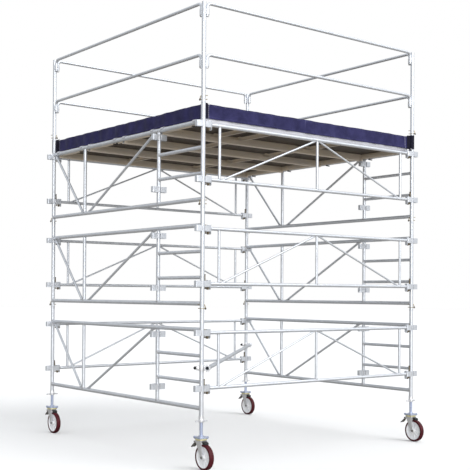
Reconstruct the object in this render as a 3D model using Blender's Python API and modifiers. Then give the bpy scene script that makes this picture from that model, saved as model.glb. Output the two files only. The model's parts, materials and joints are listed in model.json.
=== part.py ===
"""Mobile tower scaffold: three lifts of ladder frames on screw-jack casters, a railed deck on top.

Metres, +Z up, origin on the floor at the centre of the plan. +X runs from the left ladder frames to
the right ones, and +Y from the front brace frames to the back ones.
"""

import math

import bmesh
import bpy
from mathutils import Matrix, Vector

# Driving dimensions of the tower.
RUNG_PITCH = 0.25
LIFTS = 3
LIFT = 4 * RUNG_PITCH
BAY = 12 * RUNG_PITCH
HALF_BAY = BAY / 2
BASE = 0.58  # floor to the lowest chord's centre line
GAP = 0.0003  # between pieces that touch

# Ladder frames, heights above their own bottom chord.
POST_RADIUS = 0.02135
CHORD_RADIUS = 0.0205
STILE_RADIUS = 0.019
RUNG_RADIUS = 0.017
FRAME_DIAGONAL_RADIUS = 0.0135
FRAME_CHORD_RISE = 3 * RUNG_PITCH
POST_DROP = 0.07  # post end below the bottom chord
STILE_OFFSET = BAY / 4
POST_BORE_RADIUS = 0.0184
POST_BORE_TOP = 0.86
SPIGOT_RADIUS = 0.017
SPIGOT_ROOT = 0.90
SPIGOT_REACH = 0.10

# Brace pockets and the brace frames that drop into them.
BRACE_LEVELS = (0.19, 0.72)
STILE_POCKET_DROP = 0.04
POCKET_ROOT = 0.012
POCKET_REACH = 0.085
POCKET_WIDTH = 0.044
POCKET_HALF_HEIGHT = 0.029
SLOT_NEAR = 0.052
SLOT_FAR = 0.076
SLOT_WIDTH = 0.026
BRACE_CHORD_RADIUS = 0.017
BRACE_UPRIGHT_RADIUS = 0.014
BRACE_DIAGONAL_RADIUS = 0.010
BRACE_UPRIGHT_INSET = 0.20
HOOK_PLATE = 0.010
HOOK_PLATE_WIDTH = 0.038
HOOK_PLATE_DROP = 0.058
HOOK_TOP = 0.037
TONGUE_DROP = 0.075
TONGUE_CLEARANCE = 0.002

# Deck.
DECK_CHORD = LIFTS * LIFT - RUNG_PITCH  # top chord of the last lift, above the lowest chord
PLATFORM_COUNT = 4
PLATFORM_INSET = 0.04
PLATFORM_GAP = 0.004
PLATFORM_RAIL = 0.025
RAIL_BOTTOM = -0.036  # below the deck chord's centre
DECK_TOP = 0.050  # above the deck chord's centre
PLY = 0.012
BEAM_WIDTH = 0.03
BEAM_DEPTH = 0.060
CROSS_BAR_WIDTH = 0.04
CROSS_BAR_DEPTH = 0.040
HOOK_OUTER_RADIUS = 0.0305
HOOK_INNER_RADIUS = 0.0222
HOOK_WIDTH = 0.045
HOOK_INSET = 0.09
HATCH_LENGTH = 0.60
SHEET_HEIGHT = 0.137
SHEET_THICKNESS = 0.008
SHEET_INSET = 0.029
SHEET_RISE = 0.035  # lower hem above the deck chord's centre

# Guard posts and rails.
RAIL_RADIUS = 0.0158
TOP_RAIL = DECK_CHORD + 1.135
MID_RAIL = DECK_CHORD + 0.640
GUARD_POST_TOP = TOP_RAIL + 0.010
SLEEVE_OFFSET = 0.0395
SLEEVE_RADIUS = 0.0205
SLEEVE_BORE_RADIUS = 0.0172
SLEEVE_TOP = -0.055  # below the rail's centre line
SLEEVE_BOTTOM = -0.115
PRONG_END = -0.130
ELBOW_RADIUS = 0.045

# Level brace from the near left post to the far right one.
PLAN_BRACE_RISE = 0.385
PLAN_BRACE_OFFSET = 0.058
PLAN_BRACE_OVERHANG = (0.03, 0.07)
CLAMP_RADIUS = 0.034
CLAMP_BORE_RADIUS = 0.023
CLAMP_LENGTH = 0.06

# Screw jacks and casters, heights above the floor.
SCREW_RADIUS = 0.0165
SCREW_TOP = 0.90
PLATE_WIDTH = 0.11
PLATE_BOTTOM = 0.296
PLATE_TOP = 0.312
NUT_TOP = BASE - POST_DROP - GAP
NUT_BOTTOM = 0.450
NUT_STEP = 0.472
NUT_NECK_RADIUS = 0.025
NUT_FLANGE_RADIUS = 0.030
NUT_BORE_RADIUS = 0.0180
WING_REACH = 0.075
WING_RADIUS = 0.007
WHEEL_RADIUS = 0.1235
WHEEL_SEGMENTS = 24
TREAD_HALF_WIDTH = 0.025
TRAIL = 0.055
AXLE_RADIUS = 0.008
AXLE_BORE_RADIUS = 0.0088
AXLE_REACH = 0.043
FORK_LEG = (0.032, 0.037)
FORK_CROWN_BOTTOM = 0.257
RACEWAY_RADIUS = 0.062
RACEWAY_BOTTOM = 0.279
PEDAL_PIVOT = (0.066, 0.262)
PEDAL_TIP = (0.138, 0.198)
PEDAL_HALF_WIDTH = 0.022
PEDAL_THICKNESS = 0.007

ROUND = 10  # sides of posts and chords
SLIM = 8  # sides of thinner tubes

CORNERS = {
    "front_left": (-1, -1, 0),
    "front_right": (1, -1, 90),
    "back_right": (1, 1, 180),
    "back_left": (-1, 1, 270),
}


def clear_scene():
    for old in list(bpy.data.objects):
        bpy.data.objects.remove(old, do_unlink=True)


def new_collection(name):
    made = bpy.data.collections.new(name)
    bpy.context.scene.collection.children.link(made)
    return made


def new_material(name, colour, roughness, metallic):
    made = bpy.data.materials.new(name)
    made.use_nodes = True
    shader = made.node_tree.nodes["Principled BSDF"]
    shader.inputs["Base Color"].default_value = (*colour, 1)
    shader.inputs["Roughness"].default_value = roughness
    shader.inputs["Metallic"].default_value = metallic
    made.diffuse_color = (*colour, 1)
    return made


def tool_object(work, name="tool"):
    """A hidden helper made from a bmesh, to be joined into a part or cut out of one."""
    mesh = bpy.data.meshes.new(name)
    work.to_mesh(mesh)
    work.free()
    helper = bpy.data.objects.new(name, mesh)
    helper.hide_render = True
    helper.display_type = "WIRE"
    tools.objects.link(helper)
    return helper


def add_rod(work, start, end, radius, sides):
    start = Vector(start)
    along = Vector(end) - start
    turn = along.to_track_quat("Z", "Y").to_matrix().to_4x4()
    bmesh.ops.create_cone(
        work,
        cap_ends=True,
        segments=sides,
        radius1=radius,
        radius2=radius,
        depth=along.length,
        matrix=Matrix.Translation(start + along / 2) @ turn,
    )


def add_block(work, low, high):
    low = Vector(low)
    size = Vector(high) - low
    place = Matrix.Translation(low + size / 2) @ Matrix.Diagonal((*size, 1))
    bmesh.ops.create_cube(work, size=1, matrix=place)


def rods(ends, radius, sides):
    """One helper holding a straight tube for each pair of end points; the tubes stay apart."""
    work = bmesh.new()
    for start, end in ends:
        add_rod(work, start, end, radius, sides)
    return tool_object(work)


def blocks(corners):
    work = bmesh.new()
    for low, high in corners:
        add_block(work, low, high)
    return tool_object(work)


def hull(points):
    """The closed solid stretched over a few points."""
    work = bmesh.new()
    for point in points:
        work.verts.new(point)
    made = bmesh.ops.convex_hull(work, input=work.verts)
    bmesh.ops.delete(work, geom=made["geom_interior"], context="VERTS")
    bmesh.ops.recalc_face_normals(work, faces=work.faces)
    return tool_object(work)


def turned(profile, segments):
    """A solid turned about Z from (radius, height) points running down its outer side."""
    work = bmesh.new()
    points = [work.verts.new((radius, 0, height)) for radius, height in profile]
    for first, second in zip(points, points[1:] + points[:1]):
        work.edges.new((first, second))
    helper = tool_object(work)
    screw = helper.modifiers.new("Screw", "SCREW")
    screw.steps = segments
    screw.render_steps = segments
    screw.use_merge_vertices = True
    screw.merge_threshold = 0.00001
    return helper


def baked(helper):
    graph = bpy.context.evaluated_depsgraph_get()
    graph.update()
    return bpy.data.meshes.new_from_object(helper.evaluated_get(graph))


def drop(helpers):
    for helper in helpers:
        bpy.data.objects.remove(helper, do_unlink=True)


def fused(pieces, cuts=()):
    """One mesh: the pieces joined, then each cut taken away."""
    base = pieces[0]
    for operation, others in (("UNION", pieces[1:]), ("DIFFERENCE", cuts)):
        for other in others:
            step = base.modifiers.new(operation.title(), "BOOLEAN")
            step.operation = operation
            step.solver = "EXACT"
            step.object = other
    mesh = baked(base)
    drop([*pieces, *cuts])
    return mesh


def add_part(name, mesh, material, place=(0, 0, 0), turn=0):
    """A named part; copies of a part share one mesh."""
    if not mesh.materials:
        mesh.materials.append(material)
        mesh.shade_smooth()
        mesh.set_sharp_from_angle(angle=math.radians(40))
    part = bpy.data.objects.new(name, mesh)
    part.location = place
    part.rotation_euler.z = math.radians(turn)
    tower.objects.link(part)
    return part


def pocket_blocks(y, level, side):
    """A brace pocket on one side of a tube, and the slot through it."""
    near, far = sorted((side * POCKET_ROOT, side * POCKET_REACH))
    body = (
        (near, y - POCKET_WIDTH / 2, level - POCKET_HALF_HEIGHT),
        (far, y + POCKET_WIDTH / 2, level + POCKET_HALF_HEIGHT),
    )
    near, far = sorted((side * SLOT_NEAR, side * SLOT_FAR))
    slot = (
        (near, y - SLOT_WIDTH / 2, level - 2 * POCKET_HALF_HEIGHT),
        (far, y + SLOT_WIDTH / 2, level + 2 * POCKET_HALF_HEIGHT),
    )
    return body, slot


def ladder_frame_mesh():
    """A ladder frame in the plane X = 0, its bottom chord's centre line on Z = 0."""
    foot = -POST_DROP
    head = LIFT - POST_DROP - GAP
    posts = [((0, y, foot), (0, y, head)) for y in (-HALF_BAY, HALF_BAY)]
    stiles = [((0, y, 0), (0, y, FRAME_CHORD_RISE)) for y in (-STILE_OFFSET, STILE_OFFSET)]
    chords = [((0, -HALF_BAY, z), (0, HALF_BAY, z)) for z in (0, FRAME_CHORD_RISE)]
    rungs = [
        ((0, -HALF_BAY, z), (0, -STILE_OFFSET, z)) for z in (RUNG_PITCH, 2 * RUNG_PITCH)
    ]
    foot_y = STILE_OFFSET - 0.085
    long_diagonal = [((0, foot_y, 0.005), (0, -STILE_OFFSET + 0.055, FRAME_CHORD_RISE - 0.005))]
    foot_y = STILE_OFFSET + 0.035
    short_diagonal = [((0, foot_y, 0.005), (0, HALF_BAY - 0.045, FRAME_CHORD_RISE - 0.005))]
    spigots = [
        ((0, y, SPIGOT_ROOT), (0, y, head + SPIGOT_REACH)) for y in (-HALF_BAY, HALF_BAY)
    ]
    bores = [((0, y, foot - 0.01), (0, y, POST_BORE_TOP)) for y in (-HALF_BAY, HALF_BAY)]
    pockets = []
    for level in BRACE_LEVELS:
        for side in (-1, 1):
            pockets.append(pocket_blocks(-HALF_BAY, level, side))
            pockets.append(pocket_blocks(HALF_BAY, level, side))
            pockets.append(pocket_blocks(-STILE_OFFSET, level - STILE_POCKET_DROP, side))
    return fused(
        [
            rods(posts, POST_RADIUS, ROUND),
            rods(chords, CHORD_RADIUS, ROUND),
            rods(stiles, STILE_RADIUS, ROUND),
            rods(rungs, RUNG_RADIUS, SLIM),
            rods(long_diagonal, FRAME_DIAGONAL_RADIUS, SLIM),
            rods(short_diagonal, FRAME_DIAGONAL_RADIUS, SLIM),
            blocks([body for body, _ in pockets]),
            rods(spigots, SPIGOT_RADIUS, ROUND),
        ],
        [rods(bores, POST_BORE_RADIUS, ROUND), blocks([slot for _, slot in pockets])],
    )


def brace_frame_mesh():
    """A brace frame in the plane Y = 0, at the heights of the lift whose bottom chord is Z = 0."""
    low, high = BRACE_LEVELS
    plate_near = POCKET_REACH + GAP
    plate_far = plate_near + HOOK_PLATE
    end = HALF_BAY - plate_near - HOOK_PLATE / 2
    upright = HALF_BAY - BRACE_UPRIGHT_INSET
    chords = [((-end, 0, z), (end, 0, z)) for z in BRACE_LEVELS]
    uprights = [((x, 0, low), (x, 0, high)) for x in (-upright, 0, upright)]
    pieces = [
        rods(chords, BRACE_CHORD_RADIUS, SLIM),
        rods(uprights, BRACE_UPRIGHT_RADIUS, SLIM),
    ]
    plates = []
    tongues = []
    for side in (-1, 1):
        diagonal = ((side * 0.015, 0, high - 0.008), (side * (upright - 0.03), 0, low + 0.008))
        pieces.append(rods([diagonal], BRACE_DIAGONAL_RADIUS, SLIM))
        face = side * (HALF_BAY - plate_near)
        back = side * (HALF_BAY - plate_far)
        tongue = side * (HALF_BAY - SLOT_NEAR - TONGUE_CLEARANCE)
        tongue_back = side * (HALF_BAY - SLOT_FAR + TONGUE_CLEARANCE)
        over = side * (HALF_BAY - POCKET_REACH - HOOK_PLATE / 2)
        half_tongue = SLOT_WIDTH / 2 - TONGUE_CLEARANCE
        for level in BRACE_LEVELS:
            plates.append(
                (
                    (min(face, back), -HOOK_PLATE_WIDTH / 2, level - HOOK_PLATE_DROP),
                    (max(face, back), HOOK_PLATE_WIDTH / 2, level + HOOK_TOP),
                )
            )
            tongues.append(
                (
                    (min(tongue, over), -half_tongue - 0.004, level + POCKET_HALF_HEIGHT + GAP),
                    (max(tongue, over), half_tongue + 0.004, level + HOOK_TOP - 0.001),
                )
            )
    pieces.append(blocks(plates))
    pieces.append(blocks(tongues))
    prongs = []
    for side in (-1, 1):
        near, far = sorted(
            (
                side * (HALF_BAY - SLOT_NEAR - TONGUE_CLEARANCE - 0.0005),
                side * (HALF_BAY - SLOT_FAR + TONGUE_CLEARANCE),
            )
        )
        half_tongue = SLOT_WIDTH / 2 - TONGUE_CLEARANCE
        for level in BRACE_LEVELS:
            prongs.append(
                (
                    (near, -half_tongue, level - TONGUE_DROP),
                    (far, half_tongue, level + POCKET_HALF_HEIGHT + 0.004),
                )
            )
    pieces.append(blocks(prongs))
    return fused(pieces)


def platform_edges(index):
    """Front and back edge of a platform, as Y."""
    pitch = (BAY - 2 * PLATFORM_INSET) / PLATFORM_COUNT
    front = -HALF_BAY + PLATFORM_INSET + index * pitch
    return front, front + pitch - PLATFORM_GAP


def platform_width():
    front, back = platform_edges(0)
    return back - front


def platform_frame_mesh(bars):
    """A platform's aluminium frame: centre line on Y = 0, deck chord's centre on Z = 0."""
    half = platform_width() / 2
    end = HALF_BAY - PLATFORM_INSET
    rails = [
        ((-end, -half, RAIL_BOTTOM), (end, -half + PLATFORM_RAIL, DECK_TOP)),
        ((-end, half - PLATFORM_RAIL, RAIL_BOTTOM), (end, half, DECK_TOP)),
    ]
    seat = DECK_TOP - PLY - GAP
    reach = half - PLATFORM_RAIL / 2
    beams = [
        ((-end, -reach, seat - BEAM_DEPTH), (-end + BEAM_WIDTH, reach, seat)),
        ((end - BEAM_WIDTH, -reach, seat - BEAM_DEPTH), (end, reach, seat)),
    ]
    for x in bars:
        beams.append(
            (
                (x - CROSS_BAR_WIDTH / 2, -reach, seat - CROSS_BAR_DEPTH),
                (x + CROSS_BAR_WIDTH / 2, reach, seat),
            )
        )
    drums = []
    webs = []
    for side in (-1, 1):
        chord = side * HALF_BAY
        near, far = sorted((chord - side * 0.012, side * (end - 0.01)))
        for y in (-half + HOOK_INSET, half - HOOK_INSET):
            drums.append(((chord, y - HOOK_WIDTH / 2, 0), (chord, y + HOOK_WIDTH / 2, 0)))
            webs.append(
                (
                    (near, y - HOOK_WIDTH / 2 + 0.001, HOOK_INNER_RADIUS + 0.001),
                    (far, y + HOOK_WIDTH / 2 - 0.001, HOOK_OUTER_RADIUS - 0.001),
                )
            )
    clearances = [((x, -half, 0), (x, half, 0)) for x in (-HALF_BAY, HALF_BAY)]
    below = []
    for side in (-1, 1):
        inner, outer = sorted((side * (end + 0.002), side * (HALF_BAY + 0.04)))
        below.append(((inner, -half, -0.05), (outer, half, -0.006)))
    return fused(
        [
            blocks(rails),
            blocks(beams),
            rods(drums, HOOK_OUTER_RADIUS, 2 * SLIM),
            blocks(webs),
        ],
        [rods(clearances, HOOK_INNER_RADIUS, 2 * SLIM), blocks(below)],
    )


def deck_panel_mesh(start):
    """Plywood between a platform's rails, from X = start to the right-hand end."""
    half = platform_width() / 2 - PLATFORM_RAIL - 2 * GAP
    end = HALF_BAY - PLATFORM_INSET
    return baked_block((start, -half, DECK_TOP - PLY), (end, half, DECK_TOP - GAP))


def baked_block(low, high):
    helper = blocks([(low, high)])
    mesh = baked(helper)
    drop([helper])
    return mesh


def guard_post_mesh():
    """A guard post with rail sleeves towards +X and +Y, its foot at the last lift's post tops."""
    foot = LIFTS * LIFT - POST_DROP
    sleeves = []
    bores = []
    for rail in (MID_RAIL, TOP_RAIL):
        for x, y in ((SLEEVE_OFFSET, 0), (0, SLEEVE_OFFSET)):
            sleeves.append(((x, y, rail + SLEEVE_BOTTOM), (x, y, rail + SLEEVE_TOP)))
            bores.append(((x, y, rail + SLEEVE_BOTTOM - 0.01), (x, y, rail + SLEEVE_TOP + 0.01)))
    return fused(
        [
            rods([((0, 0, foot), (0, 0, GUARD_POST_TOP))], POST_RADIUS, ROUND),
            rods(sleeves, SLEEVE_RADIUS, ROUND),
        ],
        [
            rods([((0, 0, foot - 0.01), (0, 0, foot + 0.15))], POST_BORE_RADIUS, ROUND),
            rods(bores, SLEEVE_BORE_RADIUS, ROUND),
        ],
    )


def rail_mesh():
    """A guard rail along X whose two ends bend down into the posts' sleeves."""
    post = HALF_BAY - SLEEVE_OFFSET
    steps = 4
    half = [Vector((post, 0, PRONG_END))]
    for step in range(steps + 1):
        angle = math.pi / 2 * step / steps
        x = post - ELBOW_RADIUS * (1 - math.cos(angle))
        z = ELBOW_RADIUS * (math.sin(angle) - 1)
        half.append(Vector((x, 0, z)))
    path = half + [Vector((-point.x, 0, point.z)) for point in reversed(half)]
    curve = bpy.data.curves.new("rail_path", "CURVE")
    curve.dimensions = "3D"
    curve.bevel_depth = RAIL_RADIUS
    curve.bevel_resolution = 2
    curve.use_fill_caps = True
    spline = curve.splines.new("POLY")
    spline.points.add(len(path) - 1)
    for point, place in zip(spline.points, path):
        point.co = (*place, 1)
    guide = bpy.data.objects.new("rail_path", curve)
    tools.objects.link(guide)
    mesh = baked(guide)
    drop([guide])
    work = bmesh.new()
    work.from_mesh(mesh)
    bmesh.ops.remove_doubles(work, verts=work.verts, dist=0.00001)
    work.to_mesh(mesh)
    work.free()
    return mesh


def clamp_mesh():
    """A coupler between a post on Z and the level brace beside it."""
    half = CLAMP_LENGTH / 2
    along = Vector((1, 1, 0)).normalized()
    beside = Vector((1, -1, 0)).normalized() * PLAN_BRACE_OFFSET
    return fused(
        [
            rods([((0, 0, -half), (0, 0, half))], CLAMP_RADIUS, ROUND),
            rods([(beside - along * half, beside + along * half)], CLAMP_RADIUS - 0.001, ROUND),
        ],
        [
            rods([((0, 0, -2 * half), (0, 0, 2 * half))], CLAMP_BORE_RADIUS, ROUND),
            rods([(beside - along * 2 * half, beside + along * 2 * half)], CLAMP_BORE_RADIUS, ROUND),
        ],
    )


def plan_brace_mesh():
    """The level brace, measured from the front left post's axis."""
    along = Vector((1, 1, 0)).normalized()
    beside = Vector((1, -1, 0)).normalized() * PLAN_BRACE_OFFSET
    before, after = PLAN_BRACE_OVERHANG
    span = BAY * math.sqrt(2)
    tube = rods([(beside - along * before, beside + along * (span + after))], CHORD_RADIUS, ROUND)
    mesh = baked(tube)
    drop([tube])
    return mesh


def jack_screw_mesh():
    """The screw with its square foot plate."""
    half = PLATE_WIDTH / 2
    return fused(
        [
            blocks([((-half, -half, PLATE_BOTTOM), (half, half, PLATE_TOP))]),
            rods([((0, 0, PLATE_TOP - 0.005), (0, 0, SCREW_TOP))], SCREW_RADIUS, ROUND),
        ]
    )


def jack_nut_mesh():
    """The collar nut under a post, with two wing handles along X."""
    middle = (NUT_BOTTOM + NUT_STEP) / 2
    wings = [
        ((-WING_REACH, 0, middle), (-NUT_BORE_RADIUS, 0, middle)),
        ((NUT_BORE_RADIUS, 0, middle), (WING_REACH, 0, middle)),
    ]
    return fused(
        [
            rods([((0, 0, NUT_BOTTOM), (0, 0, NUT_STEP))], NUT_FLANGE_RADIUS, 2 * SLIM),
            rods([((0, 0, NUT_STEP - 0.002), (0, 0, NUT_TOP))], NUT_NECK_RADIUS, 2 * SLIM),
            rods(wings, WING_RADIUS, SLIM),
        ],
        [rods([((0, 0, NUT_BOTTOM - 0.01), (0, 0, NUT_TOP + 0.01))], NUT_BORE_RADIUS, ROUND)],
    )


def axle_height():
    """Half the flat-to-flat height of the faceted tread, so that a flat meets the floor."""
    return WHEEL_RADIUS * math.cos(math.pi / WHEEL_SEGMENTS)


def fork_mesh():
    """The swivelling fork with its raceway, axle and brake lugs; it trails towards -Y."""
    axle = Vector((0, -TRAIL, axle_height()))
    pieces = [
        rods([((0, 0, RACEWAY_BOTTOM), (0, 0, PLATE_BOTTOM - GAP))], RACEWAY_RADIUS, 2 * SLIM),
        blocks([((-FORK_LEG[1], -0.05, FORK_CROWN_BOTTOM), (FORK_LEG[1], 0.046, RACEWAY_BOTTOM + 0.002))]),
    ]
    foot_sides = 10
    foot_radius = 0.022
    for side in (-1, 1):
        outline = [(-0.048, FORK_CROWN_BOTTOM + 0.01), (0.044, FORK_CROWN_BOTTOM + 0.01)]
        for step in range(foot_sides):
            angle = 2 * math.pi * step / foot_sides
            outline.append((axle.y + foot_radius * math.cos(angle), axle.z + foot_radius * math.sin(angle)))
        pieces.append(hull([(side * x, y, z) for x in (FORK_LEG[0], FORK_LEG[1] - 0.0005) for y, z in outline]))
    pieces.append(rods([((-AXLE_REACH, axle.y, axle.z), (AXLE_REACH, axle.y, axle.z))], AXLE_RADIUS, 12))
    pivot_y, pivot_z = PEDAL_PIVOT
    lugs = []
    for near, far in ((-0.031, -0.026), (0.026, 0.031)):
        lugs.append(((near, 0.03, pivot_z - 0.009), (far, pivot_y + 0.009, pivot_z + 0.009)))
    pieces.append(blocks(lugs))
    pieces.append(rods([((-0.034, pivot_y, pivot_z), (0.034, pivot_y, pivot_z))], 0.004, SLIM))
    return fused(pieces)


def wheel_mesh():
    """The wheel centre with its moulded-on tread, turned about its own axis on Z."""
    rim = WHEEL_RADIUS - 0.019
    outer = TREAD_HALF_WIDTH
    dish = 0.014
    boss = 0.029
    profile = [
        (0.030, boss),
        (0.036, dish),
        (rim - 0.006, dish),
        (rim, outer - 0.001),
        (WHEEL_RADIUS - 0.004, outer),
        (WHEEL_RADIUS, outer - 0.006),
    ]
    outline = [(AXLE_BORE_RADIUS, boss), *profile]
    outline += [(radius, -height) for radius, height in reversed(outline)]
    return turned(outline, WHEEL_SEGMENTS)


def wheel_part_mesh():
    """The turned wheel laid over so that its axis runs along X and a flat faces down."""
    helper = wheel_mesh()
    mesh = baked(helper)
    drop([helper])
    flat_down = Matrix.Rotation(math.pi / WHEEL_SEGMENTS, 4, "Z")
    mesh.transform(Matrix.Rotation(math.pi / 2, 4, "Y") @ flat_down)
    return mesh


def pedal_mesh():
    """The brake pedal with its pivot on the X axis through the origin."""
    reach_y = PEDAL_TIP[0] - PEDAL_PIVOT[0]
    reach_z = PEDAL_TIP[1] - PEDAL_PIVOT[1]
    along = Vector((0, reach_y, reach_z))
    unit = along.normalized()
    across = Vector((0, -unit.z, unit.y)) * (PEDAL_THICKNESS / 2)
    points = []
    for x, distance in ((0.020, 0.004), (PEDAL_HALF_WIDTH, along.length)):
        for sign in (-1, 1):
            points.append(Vector((sign * x, 0, 0)) + unit * distance + across)
            points.append(Vector((sign * x, 0, 0)) + unit * distance - across)
    return fused(
        [
            rods([((-0.0255, 0, 0), (0.0255, 0, 0))], 0.0095, ROUND),
            hull(points),
        ],
        [rods([((-0.03, 0, 0), (0.03, 0, 0))], 0.0052, SLIM)],
    )


def add_frames(galvanised):
    ladder = ladder_frame_mesh()
    brace = brace_frame_mesh()
    for lift in range(LIFTS):
        height = BASE + lift * LIFT
        for name, side in (("left", -1), ("right", 1)):
            place = (side * HALF_BAY, 0, height)
            add_part(f"ladder_frame_{name}_{lift + 1}", ladder, galvanised, place)
        for name, side in (("front", -1), ("back", 1)):
            place = (0, side * HALF_BAY, height)
            add_part(f"brace_frame_{name}_{lift + 1}", brace, galvanised, place)


def add_deck(aluminium, plywood, hatch_ply):
    deck = BASE + DECK_CHORD
    third = BAY / 6
    end = HALF_BAY - PLATFORM_INSET
    trimmer = -end + BEAM_WIDTH + HATCH_LENGTH
    plain_frame = platform_frame_mesh((-third, third))
    hatch_frame = platform_frame_mesh((trimmer, -third, third))
    plain_panel = deck_panel_mesh(-end)
    short_panel = deck_panel_mesh(trimmer)
    for index in range(PLATFORM_COUNT):
        front, back = platform_edges(index)
        place = (0, (front + back) / 2, deck)
        frame = hatch_frame if index == 0 else plain_frame
        panel = short_panel if index == 0 else plain_panel
        add_part(f"platform_frame_{index + 1}", frame, aluminium, place)
        add_part(f"deck_panel_{index + 1}", panel, plywood, place)
    front, back = platform_edges(0)
    hinge = bpy.data.objects.new("hatch_hinge", None)
    hinge.location = (0, front + PLATFORM_RAIL + 0.0025, deck + DECK_TOP)
    tower.objects.link(hinge)
    depth = back - front - 2 * PLATFORM_RAIL - 0.005
    lid = baked_block((-end + 0.002, 0, -PLY), (trimmer - 0.002, depth, -GAP))
    add_part("hatch_lid", lid, hatch_ply).parent = hinge


def add_guard(galvanised):
    post = guard_post_mesh()
    rail = rail_mesh()
    for name, (x, y, turn) in CORNERS.items():
        add_part(f"guard_post_{name}", post, galvanised, (x * HALF_BAY, y * HALF_BAY, BASE), turn)
    for name, x, y, turn in SIDES:
        for level, height in (("mid", MID_RAIL), ("top", TOP_RAIL)):
            place = (x * HALF_BAY, y * HALF_BAY, BASE + height)
            add_part(f"guard_rail_{name}_{level}", rail, galvanised, place, turn)


def add_toe_sheets(canvas):
    """Four strips of sheeting round the deck, just inside the posts."""
    length = HALF_BAY - SHEET_INSET - SHEET_THICKNESS / 2 - 0.0005
    half = SHEET_THICKNESS / 2
    sheet = baked_block((-length, -half, 0), (length, half, SHEET_HEIGHT))
    height = BASE + DECK_CHORD + SHEET_RISE
    inset = HALF_BAY - SHEET_INSET
    for name, x, y, turn in SIDES:
        add_part(f"toe_sheet_{name}", sheet, canvas, (x * inset, y * inset, height), turn)


def add_plan_brace(galvanised, zinc):
    height = BASE + PLAN_BRACE_RISE
    clamp = clamp_mesh()
    add_part("plan_brace", plan_brace_mesh(), galvanised, (-HALF_BAY, -HALF_BAY, height))
    add_part("plan_clamp_near", clamp, zinc, (-HALF_BAY, -HALF_BAY, height))
    add_part("plan_clamp_far", clamp, zinc, (HALF_BAY, HALF_BAY, height))


def add_casters(galvanised, screw_steel, fork_zinc, wheel_plastic, pedal_steel):
    screw = jack_screw_mesh()
    nut = jack_nut_mesh()
    fork = fork_mesh()
    wheel = wheel_part_mesh()
    pedal = pedal_mesh()
    for name, (x, y, _) in CORNERS.items():
        swivel = bpy.data.objects.new(f"swivel_{name}", None)
        swivel.location = (x * HALF_BAY, y * HALF_BAY, 0)
        tower.objects.link(swivel)
        add_part(f"jack_screw_{name}", screw, screw_steel).parent = swivel
        add_part(f"jack_nut_{name}", nut, galvanised).parent = swivel
        add_part(f"caster_fork_{name}", fork, fork_zinc).parent = swivel
        add_part(f"caster_wheel_{name}", wheel, wheel_plastic, (0, -TRAIL, axle_height())).parent = swivel
        add_part(f"brake_pedal_{name}", pedal, pedal_steel, (0, *PEDAL_PIVOT)).parent = swivel


SIDES = (
    ("front", 0, -1, 0),
    ("right", 1, 0, 90),
    ("back", 0, 1, 180),
    ("left", -1, 0, 270),
)

clear_scene()
tower = new_collection("mobile_tower_scaffold")
tools = new_collection("tools")
tube_metal = new_material("galvanised_tube", (0.78, 0.80, 0.84), 0.38, 0.85)
deck_metal = new_material("deck_aluminium", (0.76, 0.74, 0.70), 0.42, 0.8)
deck_ply = new_material("deck_plywood", (0.16, 0.11, 0.08), 0.7, 0.0)
lid_ply = new_material("hatch_plywood", (0.18, 0.12, 0.08), 0.7, 0.0)
sheet_canvas = new_material("toe_canvas", (0.035, 0.035, 0.14), 0.75, 0.0)
clamp_metal = new_material("clamp_steel", (0.72, 0.70, 0.66), 0.4, 0.85)
jack_steel = new_material("jack_steel", (0.66, 0.68, 0.72), 0.35, 0.9)
fork_steel = new_material("fork_steel", (0.70, 0.71, 0.72), 0.35, 0.85)
wheel_compound = new_material("wheel_compound", (0.28, 0.03, 0.06), 0.45, 0.0)
pedal_metal = new_material("pedal_steel", (0.20, 0.20, 0.21), 0.5, 0.6)

add_frames(tube_metal)
add_deck(deck_metal, deck_ply, lid_ply)
add_guard(tube_metal)
add_toe_sheets(sheet_canvas)
add_plan_brace(tube_metal, clamp_metal)
add_casters(tube_metal, jack_steel, fork_steel, wheel_compound, pedal_metal)
bpy.context.view_layer.update()
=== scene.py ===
import math

import bmesh
import bpy
from mathutils import Matrix, Vector, noise
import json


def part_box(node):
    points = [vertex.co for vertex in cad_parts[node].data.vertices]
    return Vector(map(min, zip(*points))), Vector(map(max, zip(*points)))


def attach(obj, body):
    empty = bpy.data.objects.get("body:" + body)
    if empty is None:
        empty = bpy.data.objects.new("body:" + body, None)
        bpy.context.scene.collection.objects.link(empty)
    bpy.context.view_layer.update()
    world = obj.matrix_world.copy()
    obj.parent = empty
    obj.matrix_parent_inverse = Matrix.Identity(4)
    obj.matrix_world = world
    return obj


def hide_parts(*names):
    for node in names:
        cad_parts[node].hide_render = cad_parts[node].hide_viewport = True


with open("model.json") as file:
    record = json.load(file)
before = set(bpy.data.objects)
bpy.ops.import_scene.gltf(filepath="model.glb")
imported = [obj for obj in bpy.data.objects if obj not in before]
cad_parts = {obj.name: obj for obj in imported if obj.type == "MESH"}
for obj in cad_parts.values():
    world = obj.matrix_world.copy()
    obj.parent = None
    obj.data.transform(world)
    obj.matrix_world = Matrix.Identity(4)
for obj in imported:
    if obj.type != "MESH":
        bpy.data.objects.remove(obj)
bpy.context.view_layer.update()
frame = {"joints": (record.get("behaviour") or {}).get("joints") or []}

corners = ("front_left", "front_right", "back_right", "back_left")
# outlines in Y, Z drawn along X, and in X, Z drawn along Y
outlineX = Matrix(((0, 0, 1, 0), (1, 0, 0, 0), (0, 1, 0, 0), (0, 0, 0, 1)))
outlineY = Matrix(((1, 0, 0, 0), (0, 0, 1, 0), (0, 1, 0, 0), (0, 0, 0, 1)))


# Shapes: each part is made by itself, then joined to the piece it belongs to.

def pointing(start, direction):
    turn = Vector(direction).to_track_quat("Z", "Y").to_matrix().to_4x4()
    return Matrix.Translation(start) @ turn


def turnedAbout(axis, degrees):
    return Matrix.Rotation(math.radians(degrees), 4, axis)


def movedTo(x, y, z):
    return Matrix.Translation((x, y, z))


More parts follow.
